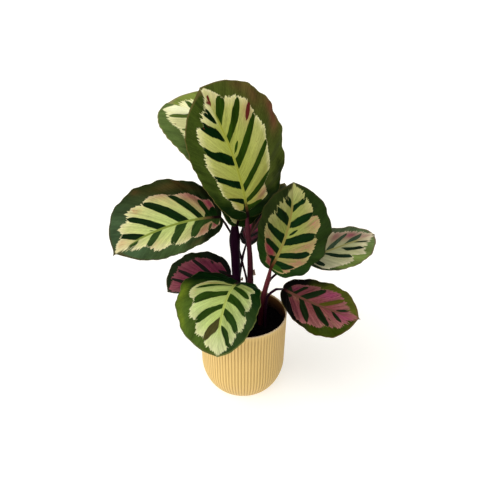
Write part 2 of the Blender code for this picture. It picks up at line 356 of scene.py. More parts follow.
@dataclass(frozen=True)
class LeafFinish:
    """The upper side of a blade: a light zone with dark bars inside a green margin."""

    name: str
    near: Colour  # the light zone beside the midrib
    far: Colour  # farther out
    edge: Colour  # the fringe where the zone meets the margin
    tip: Colour  # the light zone near the blade's tip
    foot: Colour  # the light zone near the stalk
    left: Colour  # the left margin
    right: Colour
    base: Colour  # the margins near the stalk, darkened as painted shade
    # how far along the painted shade near the stalk reaches
    base_shade_reach: float = 0.39
    rim: Colour = tone(92, 84, 44)
    left_bar: Colour = tone(8, 31, 5)
    right_bar: Colour = tone(8, 31, 5)
    blush: Colour = tone(110, 60, 55)
    rust: Colour = tone(160, 104, 64)
    bronze: Colour = tone(90, 62, 42)  # patches on the margin
    midrib: Colour = tone(153, 159, 61)
    midrib_foot: Colour = tone(40, 15, 18)
    foot_reach: float = 0.42
    deep: Colour = tone(22, 8, 10)  # the midrib's start
    blot: Colour = tone(92, 33, 28)
    shoot: Colour = tone(36, 64, 14)
    grain: float = 1.0  # how strongly the light zone is streaked
    left_light: float = 1.0  # how light the left half's light zone is
    right_light: float = 1.0
    # a bluish painted sheen on the margins near the tip
    painted_sheen: Colour = tone(58, 78, 50)
    painted_sheen_share: float = 0.0  # how much of the bluish painted sheen the margins take near the tip

    # A pair says where a mask starts and where it is full. Depths are in millimetres, places are shares.
    FAR_PART = (0.1, 0.7)
    FOOT_PART = (0.62, 0.36)
    TIP_PART = (0.82, 0.96)
    PAINTED_SHEEN_PART = (0.55, 0.85)
    PALE_FRINGE = (9.0, 1.0)
    BRIGHT_FRINGE = (1.8, 0.3)
    RIM_BAND = (1.3, 0.3)
    IN_ZONE = (-0.35, 0.35)
    IN_BAR = (-0.4, 0.4)
    BAR_IN_ZONE = (-0.1, 0.7)
    IN_BLOT = (-0.3, 0.4)
    IN_SHOOT = (-0.5, 0.6)
    MIDRIB_SIDE = (3.3, 2.4)
    MIDRIB_TAPER = 1.4
    MIDRIB_END = (0.96, 0.86)
    VEIN_FOOT = (0.12, -0.08)  # past foot_reach
    VEIN_START = (-0.06, -0.2)
    WANDER = 0.05  # how far the soft borders across the blade stray along it
    BASE_FADE = 0.11

    def light_zone(self, graph: BladeGraph) -> Wire:
        """Colour the light zone, with its pale fringe, its blushes and its fine streaks.

        Args:
            graph: The blade's nodes.

        Returns:
            The colour.
        """
        zone, along = graph.zone, graph.along
        light = graph.mix(graph.mask(abs(graph.across), *self.FAR_PART), self.near, self.far)
        light = graph.mix(graph.mask(along + graph.clouds * self.WANDER, *self.FOOT_PART), light, self.foot)
        light = graph.mix(graph.mask(along, *self.TIP_PART), light, self.tip)
        light = graph.mix(graph.mask(zone + graph.clouds * 2.5, *self.PALE_FRINGE) * 0.5, light, self.edge)
        light = graph.mix(graph.mask(zone + graph.fibres * 1.5, *self.BRIGHT_FRINGE), light, self.edge)
        light = graph.mix(graph.blush, light, self.blush)
        light = graph.mix(graph.rust * graph.mask(graph.cells + graph.barbs, -0.7, 0.5), light, self.rust)
        lightness = graph.on_left * (self.left_light - self.right_light) + self.right_light
        streaks = graph.fibres * 0.16 + graph.barbs * 0.07 + graph.bands * 0.05 + graph.cells * 0.11
        return graph.scaled(light, lightness + streaks * self.grain)

    def margin(self, graph: BladeGraph) -> Wire:
        """Colour the green margin, darker near the stalk as painted shade, bluish near the tip as a painted
        sheen, and paler on its very rim.

        Args:
            graph: The blade's nodes.

        Returns:
            The colour.
        """
        along = graph.along + graph.clouds * self.WANDER
        green = graph.mix(graph.on_left, self.right, self.left)
        # a bluish painted sheen on the margins near the tip
        green = graph.mix(graph.mask(along, *self.PAINTED_SHEEN_PART) * self.painted_sheen_share, green, self.painted_sheen)
        # painted shade on the margins near the stalk
        painted_shade_at_base = graph.mask(along, self.base_shade_reach + self.BASE_FADE, self.base_shade_reach - self.BASE_FADE)
        green = graph.mix(painted_shade_at_base, green, self.base)
        green = graph.mix(graph.bronze, green, self.bronze)
        streaks = graph.bands * 0.09 + graph.fibres * 0.21 + graph.clouds * 0.26 + graph.cells * 0.17
        green = graph.scaled(green, streaks + 1.0)
        return graph.mix(graph.mask(graph.from_rim, *self.RIM_BAND), green, self.rim)

    def vein(self, graph: BladeGraph) -> Wire:
        """Colour the midrib, from its dark start to its light tip.

        Args:
            graph: The blade's nodes.

        Returns:
            The colour.
        """
        past_foot = graph.along - self.foot_reach
        on_foot = graph.mask(past_foot + graph.bands * 0.04, *self.VEIN_FOOT)
        on_start = graph.mask(past_foot + graph.bands * 0.03, *self.VEIN_START)
        vein = graph.mix(graph.mask(graph.bands + graph.fibres * 0.5, 0.7, 1.3) * 0.6, self.midrib, self.blot)
        vein = graph.mix(graph.mask(graph.from_midrib, 0.7, 0.2) * 0.3, vein, self.blot)
        vein = graph.mix(on_foot, vein, self.midrib_foot)
        return graph.mix(on_start, vein, self.deep)

    def material(self) -> bpy.types.Material:
        """Build the material from the blade's markings.

        Returns:
            The material.
        """
        graph = BladeGraph(self.name)
        fibres, barbs, bands, cells = graph.fibres, graph.barbs, graph.bands, graph.cells
        in_zone = graph.mask(graph.zone, *self.IN_ZONE)
        in_bar = graph.mask(graph.bar + barbs * 0.45 + fibres * 0.2, *self.IN_BAR)
        in_bar = in_bar * graph.mask(graph.zone + bands * 0.8, *self.BAR_IN_ZONE)
        in_blot = graph.mask(graph.blot + barbs * 0.5, *self.IN_BLOT)
        in_shoot = graph.mask(graph.shoot + barbs * 0.5, *self.IN_SHOOT)
        on_midrib = graph.mask(graph.from_midrib + graph.along * self.MIDRIB_TAPER, *self.MIDRIB_SIDE)
        on_midrib = on_midrib * graph.mask(graph.along, *self.MIDRIB_END)
        dark = graph.mix(graph.on_left, self.right_bar, self.left_bar)
        dark = graph.scaled(dark, 1.0 + fibres * 0.4 + graph.clouds * 0.3 + cells * 0.2)
        fresh = graph.scaled(self.shoot, 1.0 + fibres * 0.3 + cells * 0.15)
        colour = graph.mix(in_bar, self.light_zone(graph), dark)
        colour = graph.mix(in_shoot, colour, fresh)
        colour = graph.mix(in_zone, self.margin(graph), colour)
        colour = graph.mix(on_midrib, colour, self.vein(graph))
        colour = graph.mix(in_blot, colour, self.blot)
        return graph.dress(
            base_color=colour,
            roughness=0.46 + cells * 0.03 + bands * 0.03,
            normal=graph.bump(fibres * 0.3 + bands * 0.25 + cells * 0.15, 0.4 * MM),
            specular_ior_level=0.03,
        )


@dataclass(frozen=True)
class UndersideFinish:
    """The dull wine-purple underside of a blade, with paler side veins."""

    name: str = "leaf_underside"
    base: Colour = tone(96, 36, 58)
    vein: Colour = tone(132, 70, 84)

    FIBRES = (0.5, 0.03, 1.0)
    BANDS = (0.12, 0.01, 1.0)
    CELLS = (0.8, 0.5, 1.0)

    def material(self) -> bpy.types.Material:
        """Build the material.

        Returns:
            The material.
        """
        graph = Graph(self.name)
        flow = graph.attribute("flow")
        fibres = graph.noise(flow, self.FIBRES, 3.0)
        bands = graph.noise(flow, self.BANDS, 1.0)
        cells = graph.noise(flow, self.CELLS, 2.0)
        colour = graph.mix(graph.mask(fibres + bands, 0.1, 1.2), self.base, self.vein)
        return graph.dress(
            base_color=graph.scaled(colour, 1.0 + bands * 0.15 + cells * 0.06),
            roughness=0.62 + cells * 0.05,
            normal=graph.bump(fibres * 0.5 + cells * 0.1, 0.4 * MM),
            specular_ior_level=0.04,
        )


@dataclass(frozen=True)
class StalkFinish:
    """A satin stalk with fine lengthwise lines. Heights are in millimetres."""

    name: str
    low: Colour
    high: Colour
    low_height: float
    high_height: float

    LINES = (900.0, 900.0, 25.0)
    FLECKS = (420.0, 420.0, 160.0)

    def material(self) -> bpy.types.Material:
        """Build the material.

        Returns:
            The material.
        """
        graph = Graph(self.name)
        place = graph.object_place()
        lines = graph.noise(place, self.LINES)
        flecks = graph.noise(place, self.FLECKS)
        raised = graph.mask(graph.part(place, 2), self.low_height * MM, self.high_height * MM)
        colour = graph.mix(raised, self.low, self.high)
        return graph.dress(
            base_color=graph.scaled(colour, 1.0 + lines * 0.3 + flecks * 0.3),
            roughness=0.42 + flecks * 0.06,
            normal=graph.bump(lines * 0.5 + 0.5, 0.3 * MM),
            specular_ior_level=0.02,
        )


@dataclass(frozen=True)
class PotFinish:
    """Matt ochre moulded plastic. It is a little darker down in the grooves and darker down the inner wall,
    both as painted shade, and paler along the rim as a painted highlight.
    """

    name: str = "pot_plastic"
    base: Colour = tone(217, 186, 118)
    # painted shade down in the grooves
    groove: Colour = tone(171, 135, 74)
    # painted highlight along the rim
    rim: Colour = tone(217, 195, 153)
    # painted shade on the inner wall just below the rim
    inside: Colour = tone(92, 56, 23)
    # deeper painted shade farther down the inner wall
    painted_deep_shade: Colour = tone(34, 18, 8)

    CLOUDS = (28.0, 28.0, 20.0)
    GRAIN = (1500.0, 1500.0, 1500.0)

    def material(self) -> bpy.types.Material:
        """Build the material.

        Returns:
            The material.
        """
        graph = Graph(self.name)
        place = graph.object_place()
        groove, rim, inside = graph.parts("wall")
        clouds = graph.noise(place, self.CLOUDS, 3.0)
        grain = graph.noise(place, self.GRAIN)
        # painted shade in the grooves
        colour = graph.mix(groove, self.base, self.groove)
        # painted highlight along the rim
        colour = graph.mix(rim, colour, self.rim)
        # painted shade down the inner wall, deeper farther down
        colour = graph.mix(inside, colour, self.inside)
        colour = graph.mix(graph.mask(inside, 1.0, 2.0), colour, self.painted_deep_shade)
        return graph.dress(
            base_color=graph.scaled(colour, 1.0 + clouds * 0.03 + grain * 0.015),
            roughness=0.5 + clouds * 0.04 + grain * 0.04,
            normal=graph.bump(grain * 0.5 + 0.5, 0.06 * MM),
            specular_ior_level=0.25,
        )


@dataclass(frozen=True)
class SoilFinish:
    """Moist dark potting soil, deepened to near black as painted shade, and a few grey and brown bits."""

    name: str = "potting_soil"
    # near black: the soil's own dark colour, deepened as painted shade
    base: Colour = tone(9, 7, 7)
    bit: Colour = tone(44, 38, 32)

    CRUMBS = (260.0, 260.0, 260.0)
    BITS = (620.0, 620.0, 620.0)

    def material(self) -> bpy.types.Material:
        """Build the material.

        Returns:
            The material.
        """
        graph = Graph(self.name)
        place = graph.object_place()
        crumbs = graph.noise(place, self.CRUMBS, 4.0)
        bits = graph.noise(place, self.BITS)
        colour = graph.mix(graph.mask(bits, 0.75, 1.2), self.base, self.bit)
        return graph.dress(
            base_color=graph.scaled(colour, 1.0 + crumbs * 0.4),
            roughness=0.9 + crumbs * 0.05,
            normal=graph.bump(crumbs * 0.5 + bits * 0.2, 1.0 * MM),
            specular_ior_level=0.01,
        )


@dataclass(frozen=True)
class SheathFinish:
    """Dry brown papery sheath."""

    name: str = "dry_sheath"
    base: Colour = tone(128, 104, 82)
    dark: Colour = tone(66, 46, 36)

    STREAKS = (700.0, 700.0, 90.0)

    def material(self) -> bpy.types.Material:
        """Build the material.

        Returns:
            The material.
        """
        graph = Graph(self.name)
        streaks = graph.noise(graph.object_place(), self.STREAKS, 3.0)
        return graph.dress(
            base_color=graph.mix(graph.mask(streaks, -0.6, 0.9), self.base, self.dark),
            roughness=0.8 + streaks * 0.05,
            normal=graph.bump(streaks * 0.5, 0.3 * MM),
        )


@dataclass(frozen=True)
class FloorFinish:
    """The pale studio floor."""

    name: str = "studio_floor"
    base: Colour = (0.53, 0.52, 0.50)
    glow: Colour = (0.65, 0.64, 0.60)  # a lit table, so that its shadows stay pale

    CLOUDS = (1.5, 1.5, 1.5)

    def material(self) -> bpy.types.Material:
        """Build the material.

        Returns:
            The material.
        """
        graph = Graph(self.name)
        clouds = graph.noise(graph.object_place(), self.CLOUDS)
        return graph.dress(
            base_color=graph.scaled(self.base, 1.0 + clouds * 0.004),
            roughness=0.9 + clouds * 0.02,
            specular_ior_level=0.1,
            emission_color=self.glow,
            emission_strength=1.0,
        )


def add_piece(name: str, shape: bmesh.types.BMesh, materials: list[bpy.types.Material]) -> bpy.types.Object:
    """Turn a finished shape into a piece that rides on the frame.

    Args:
        name: The piece's name.
        shape: Its mesh, which is used up.
        materials: Its materials, by face index.

    Returns:
        The piece.
    """
    data = bpy.data.meshes.new(name)
    shape.to_mesh(data)
    shape.free()
    data.shade_smooth()
    for material in materials:
        data.materials.append(material)
    piece = bpy.data.objects.new(name, data)
    bpy.context.scene.collection.objects.link(piece)
    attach(piece, BODY)
    return piece


def settle(piece: bpy.types.Object, sharp_degrees: float) -> None:
    """Apply a piece's modifiers and mark its sharp edges.

    Args:
        piece: The piece.
        sharp_degrees: The smallest angle of a sharp edge.
    """
    bpy.context.view_layer.update()
    graph = bpy.context.evaluated_depsgraph_get()
    bent = piece.evaluated_get(graph)
    data = bpy.data.meshes.new_from_object(bent, preserve_all_data_layers=True, depsgraph=graph)
    piece.modifiers.clear()
    data.name = piece.name
    piece.data = data
    data.shade_smooth()
    data.set_sharp_from_angle(angle=math.radians(sharp_degrees))


def tube(points: list[Vector], radii: list[float], sides: int) -> bmesh.types.BMesh:
    """Sweep a round section along points.

    Args:
        points: The middle line.
        radii: The radius at each point.
        sides: How many sides the section has.

    Returns:
        The closed tube.
    """
    curve = bpy.data.curves.new("route", "CURVE")
    curve.dimensions = "3D"
    curve.bevel_depth = 1
    curve.bevel_resolution = sides // 4 - 1
    curve.use_fill_caps = True
    spline = curve.splines.new("POLY")
    spline.points.add(len(points) - 1)
    for knot, point, radius in zip(spline.points, points, radii):
        knot.co = (*point, 1)
        knot.radius = radius
    passing = bpy.data.objects.new("route", curve)
    bpy.context.scene.collection.objects.link(passing)
    bpy.context.view_layer.update()
    swept = passing.evaluated_get(bpy.context.evaluated_depsgraph_get())
    data = bpy.data.meshes.new_from_object(swept)
    shape = bmesh.new()
    shape.from_mesh(data)
    bmesh.ops.remove_doubles(shape, verts=shape.verts, dist=MERGE)
    bmesh.ops.recalc_face_normals(shape, faces=shape.faces)
    bpy.data.objects.remove(passing)
    bpy.data.curves.remove(curve)
    bpy.data.meshes.remove(data)
    return shape


def spun(line: list[tuple[float, float]] | list[Vector], steps: int) -> bmesh.types.BMesh:
    """Spin a section right round the upright axis.

    Args:
        line: The section's radius and height points, in millimetres.
        steps: How many steps the turn has.

    Returns:
        The closed shape.
    """
    shape = bmesh.new()
    knots = [shape.verts.new((radius * MM, 0, height * MM)) for radius, height in line]
    edges = [shape.edges.new(pair) for pair in zip(knots, knots[1:])]
    bmesh.ops.spin(shape, geom=knots + edges, cent=(0, 0, 0), axis=(0, 0, 1), angle=2 * math.pi,
                   steps=steps, use_merge=True)
    bmesh.ops.remove_doubles(shape, verts=shape.verts, dist=MERGE)
    bmesh.ops.recalc_face_normals(shape, faces=shape.faces)
    return shape


@dataclass(frozen=True)
class Spot:
    """A place on one half of a blade. Places are in hundredths, as in all the markings."""

    along: float  # counted by side vein, from 0 at the stalk to 100 at the blade's tip
    out: float  # from 0 at the midrib to 100 at the rim
    step_along: float  # the millimetres in one hundredth along, square to the side veins
    step_out: float  # the millimetres in one hundredth outwards


class Bar:
    """A dark bar along a side vein, by its sections from the midrib outwards.

    Each section gives its place out from the midrib, and where the bar starts and ends there along the blade.
    """

    def __init__(self, *sections: tuple[float, float, float]) -> None:
        """Hold the sections."""
        self.starts = tuple((out, start) for out, start, _ in sections)
        self.ends = tuple((out, end) for out, _, end in sections)

    def depth(self, spot: Spot) -> float:
        """Say how deep inside the bar a place is.

        Args:
            spot: The place.

        Returns:
            The depth in millimetres, below 0 outside the bar.
        """
        held = min(max(spot.out, self.starts[0][0]), self.starts[-1][0])
        inside = min(spot.along - through(self.starts, held), through(self.ends, held) - spot.along)
        return inside * spot.step_along - abs(spot.out - held) * spot.step_out


@dataclass(frozen=True)
class Patch:
    """A soft patch of another tint, by its middle, its reach and its strength."""

    along: float
    out: float
    reach_along: float
    reach_out: float
    strength: float  # from 0 to 1

    def share(self, spot: Spot) -> float:
        """Say how much of the tint shows at a place.

        Args:
            spot: The place.

        Returns:
            A share from 0 to 1.
        """
        off_along = (spot.along - self.along) / self.reach_along
        off_out = (spot.out - self.out) / self.reach_out
        return self.strength * math.exp(-(off_along**2 + off_out**2))


@dataclass(frozen=True)
class Markings:
    """The markings of one half of a blade."""

    edge: Knots  # the light zone's edge: place along, and place out
    bars: tuple[Bar, ...]
    blots: tuple[Bar, ...] = ()
    blushes: tuple[Patch, ...] = ()
    rusts: tuple[Patch, ...] = ()
    bronzes: tuple[Patch, ...] = ()
    shoots: tuple[Bar, ...] = ()  # bars of a fresher green

    FAR = -30.0  # the depth in millimetres that stands for far outside

    def depths(self, spot: Spot) -> list[float]:
        """Give the depths in the light zone, in a bar, in a blot and in a fresh bar.

        Args:
            spot: The place.

        Returns:
            The four depths in millimetres, each below 0 outside.
        """
        zone = (through(self.edge, spot.along) - spot.out) * spot.step_out
        deepest = [max((bar.depth(spot) for bar in bars), default=self.FAR)
                   for bars in (self.bars, self.blots, self.shoots)]
        return [max(depth, self.FAR) for depth in (zone, *deepest)]

    def tints(self, spot: Spot) -> Vector:
        """Give the shares of blush, rust and bronze at a place."""
        return Vector([min(sum(patch.share(spot) for patch in patches), 1)
                       for patches in (self.blushes, self.rusts, self.bronzes)])


@dataclass
class Leaf:
    """One leaf. Lengths are in millimetres and angles in degrees, as in its solid.

    Places along the blade run from 0 at the stalk to 1 at its tip, and places across from 1 at the left rim
    to -1 at the right one. Pairs are for the left half and the right half.
    """

    node: str
    base: tuple[float, float, float]  # where the blade meets its stalk
    heading: float  # the blade's way in plan, how steeply it starts, and its turn about the midrib
    rise: float
    roll: float
    length: float
    widths: tuple[float, float]
    droop: float  # how far the midrib bends down, to its left and about itself
    sweep: float
    twist: float
    fold: tuple[float, float]  # how far each half is folded up
    taper: tuple[float, float]  # how pointed each half ends
    shoulder: float  # above 0, the blade is widest nearer to the stalk
    ruffle: tuple[float, float]  # the height of the waves towards the rim
    waves: float  # how many there are
    route: list[tuple[float, float, float, float]]  # the stalk's points, with its radius at each
    markings: tuple[Markings, Markings]
    finish: LeafFinish
    stalk: StalkFinish
    slot: Slot = Slot.LEAF
    phase: float = 0.0  # of the waves
    stout: float = 1.0  # how much fuller the stalk grows above the soil
    drip: float = 1.0  # how far the blade's tip is drawn out
    frames: list[tuple[Vector, Matrix]] = field(default_factory=list)  # the midrib's points and ways

    ATTRIBUTES = ("flow", "place", "marks", "tints", "fresh")
    STATIONS = 150
    COLUMNS = 22  # in each half
    THICKNESS = 0.8
    LOBE = 0.1  # how far the rim reaches back beside the stalk
    CURL = -12  # how far each half bends back down towards its rim
    SPINE_STEPS = 48
    VEIN_SPREAD = 0.12
    CROWDING = 1.35  # columns stand closer together near the midrib
    PLEATS = 15
    PLEAT = 0.28
    RIDGE = 0.35
    RIDGE_WIDTH = 1.3
    SCALLOP = 0.008  # of the half width
    SCALLOPS_PER_WAVE = 2.5
    TIP_WIDTH = 0.2  # so that the tip stays a tight solid
    TINY = 0.004  # a step along that measures how the blade is stretched
    INWARDS = 0.97  # a step towards the midrib that gives the side vein's way
    OFF_MIDRIB = 0.001  # keeps that step from being nothing
    DRIP_START = 0.93
    SHARP = 50
    HOLE_DEPTH = 23.7
    KEEL_SHARE = 0.55  # how much of the midrib the stalk runs on below
    KEEL_POINTS = 14
    KEEL_START = 0.85  # of the stalk's last radius
    KEEL_END = 0.5
    KEEL_GAP = 0.1
    SPAN_POINTS = 12
    SWELLING = 0.16  # how much thicker the stalk grows at the blade
    SWELLING_LENGTH = 14
    STOUT_HEIGHTS = (122, 150)  # from where a stout stalk grows thicker, and where it has
    STALK_SIDES = 20

    def turn(self, degrees: float, axis: str) -> Matrix:
        """Give a rotation about one axis."""
        return Matrix.Rotation(math.radians(degrees), 3, axis)

    def lay_midrib(self) -> None:
        """Work out the midrib's points and frames. A frame's columns run along it, to its left and up."""
        way = self.turn(self.heading, "Z") @ self.turn(-self.rise, "Y") @ self.turn(self.roll, "X")
        point = Vector(self.base) * MM
        step = self.length * MM / self.SPINE_STEPS
        bend = self.turn(self.droop / self.SPINE_STEPS, "Y") @ self.turn(self.sweep / self.SPINE_STEPS, "Z")
        bend = bend @ self.turn(self.twist / self.SPINE_STEPS, "X")
        self.frames = [(point.copy(), way.copy())]
        for _ in range(self.SPINE_STEPS):
            way = way @ bend
            point = point + way.col[0] * step
            self.frames.append((point.copy(), way.copy()))

    def midrib_at(self, distance: float) -> tuple[Vector, Matrix]:
        """Give the midrib's point and frame at a distance along it.

        Args:
            distance: The distance in millimetres.

        Returns:
            The point, in metres, and the frame.
        """
        place = distance / self.length * self.SPINE_STEPS
        index = min(max(int(place), 0), self.SPINE_STEPS - 1)
        share = place - index
        start, start_way = self.frames[index]
        end, end_way = self.frames[index + 1]
        return start.lerp(end, share), start_way * (1 - share) + end_way * share

    def half_width(self, along: float, half: Half) -> float:
        """Give the distance from midrib to rim, in millimetres.

        Args:
            along: The place along.
            half: Which half.

        Returns:
            The distance.
        """
        angle = math.pi * along
        hollow = 1 + self.taper[half.value] * along**4
        swell = 1 + self.shoulder * math.cos(angle)
        return max(self.widths[half.value] * max(math.sin(angle), 0) ** hollow * swell, self.TIP_WIDTH)

    def on_blade(self, along: float, across: float) -> Vector:
        """Give a point of the upper surface.

        Args:
            along: The place along.
            across: The place across.

        Returns:
            The point, in metres.
        """
        half = Half.at(across)
        out = abs(across)
        angle = math.pi * along
        full = math.sin(angle)
        lobe = self.LOBE * full * (1 - along) ** 3
        edge_x = self.length * ((1 - math.cos(angle)) / 2 - lobe)
        scallop = math.sin(2 * math.pi * self.SCALLOPS_PER_WAVE * self.waves * along)
        edge_y = self.half_width(along, half) * (1 + self.SCALLOP * scallop * out**3)
        vein_x = self.length * (self.VEIN_SPREAD * along + (1 - self.VEIN_SPREAD) * along**3)
        wave = math.sin(2 * math.pi * self.waves * along + math.radians(self.phase) + half.value)
        ruffle = self.ruffle[half.value] * wave * full
        drip = self.drip * max((along - self.DRIP_START) / (1 - self.DRIP_START), 0) ** 2
        x = vein_x + (edge_x - vein_x) * out + drip
        y = edge_y * out + ruffle * out**4
        middle, way = self.midrib_at(x)
        lift = math.radians(self.fold[half.value] + self.CURL * y / self.widths[half.value] / 2)
        sign = 1 if half is Half.LEFT else -1
        pleat = self.PLEAT * math.sin(2 * math.pi * self.PLEATS * along) * math.sin(math.pi * out) * full
        ridge = self.RIDGE * math.exp(-((y / self.RIDGE_WIDTH) ** 2)) * full
        up = y * math.sin(lift) + ruffle * out**2 + pleat + ridge
        return middle + way.col[1] * (sign * y * math.cos(lift) * MM) + way.col[2] * (up * MM)

    def spacing(self, along: float, across: float) -> float:
        """Give the width in millimetres of a whole step along, square to the side veins.

        Args:
            along: The place along.
            across: The place across.

        Returns:
            The width.
        """
        low, high = max(along - self.TINY, 0), min(along + self.TINY, 1)
        step = (self.on_blade(high, across) - self.on_blade(low, across)) / (high - low)
        vein = self.on_blade(along, across * self.INWARDS + self.OFF_MIDRIB) - self.on_blade(along, across)
        vein.normalize()
        return (step - vein * step.dot(vein)).length / MM

    def blade_shape(self) -> bmesh.types.BMesh:
        """Bend a grid into the upper surface, with its markings as attributes.

        Returns:
            The open surface.
        """
        shape = bmesh.new()
        bmesh.ops.create_grid(shape, x_segments=self.STATIONS, y_segments=2 * self.COLUMNS, size=1)
        layers = shape.verts.layers.float_vector
        flow, place, marks, tints, fresh = (layers.new(name) for name in self.ATTRIBUTES)
        seed = sum(self.base)
        for vertex in shape.verts:
            along = min(max((vertex.co.x + 1) / 2, 0), 1)
            across = math.copysign(min(abs(vertex.co.y), 1) ** self.CROWDING, vertex.co.y)
            half = Half.at(across)
            width = self.half_width(along, half)
            spot = Spot(100 * along, 100 * abs(across), self.spacing(along, across) / 100, width / 100)
            *depths, shoot = self.markings[half.value].depths(spot)
            vertex[flow] = Vector((along * self.length, across * width, seed))
            vertex[place] = Vector((along, across, (1 - abs(across)) * width))
            vertex[marks] = Vector(depths)
            vertex[tints] = self.markings[half.value].tints(spot)
            vertex[fresh] = Vector((shoot, 0, 0))
            vertex.co = self.on_blade(along, across)
        return shape

    def stalk_line(self) -> tuple[list[Vector], list[float]]:
        """Lay the stalk's middle line: from its hole in the soil to the blade, and on below the midrib.

        Returns:
            The points and the radius at each, in metres.
        """
        foot = self.route[0]
        knots = [Vector(foot)] + [Vector(knot) for knot in self.route] + [Vector(self.route[-1])]
        line = [Vector((foot[0], foot[1], foot[2] - self.HOLE_DEPTH, foot[3]))]
        for before, start, end, after in zip(knots, knots[1:], knots[2:], knots[3:]):
            for step in range(self.SPAN_POINTS):
                share = step / self.SPAN_POINTS
                bend = (2 * before - 5 * start + 4 * end - after) * share**2
                close = (3 * start - before - 3 * end + after) * share**3
                line.append((2 * start + (end - before) * share + bend + close) / 2)
        line.append(knots[-1])
        top = line[-1].xyz
        swollen = []
        for knot in line:
            near = math.exp(-(((knot.xyz - top).length / self.SWELLING_LENGTH) ** 2))
            full = 1 + (self.stout - 1) * ease(knot.z, *self.STOUT_HEIGHTS)
            swollen.append((knot.xyz * MM, knot.w * full * (1 + self.SWELLING * near) * MM))
        for step in range(self.KEEL_POINTS + 1):
            share = step / self.KEEL_POINTS
            point, way = self.frames[round(self.SPINE_STEPS * self.KEEL_SHARE * share)]
            radius = (self.route[-1][3] * self.KEEL_START * (1 - share) + self.KEEL_END * share) * MM
            swollen.append((point - way.col[2] * (radius + self.KEEL_GAP * MM), radius))
        return [point for point, _ in swollen], [radius for _, radius in swollen]

    def build(self, underside: bpy.types.Material) -> list[bpy.types.Object]:
        """Build and dress the blade and its stalk.

        Args:
            underside: The material of every blade's lower side.

        Returns:
            The two pieces.
        """
        self.lay_midrib()
        upper = self.finish.material()
        blade = add_piece("blade_" + self.node, self.blade_shape(), [upper, underside])
        wall = blade.modifiers.new("thickness", "SOLIDIFY")
        wall.thickness = self.THICKNESS * MM
        wall.offset = -1
        wall.use_even_offset = False
        wall.material_offset = 1
        settle(blade, self.SHARP)
        swept = tube(*self.stalk_line(), self.STALK_SIDES)
        stalk = add_piece("stalk_" + self.node, swept, [self.stalk.material()])
        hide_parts(self.node)
        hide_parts(self.node)
        return [blade, stalk]


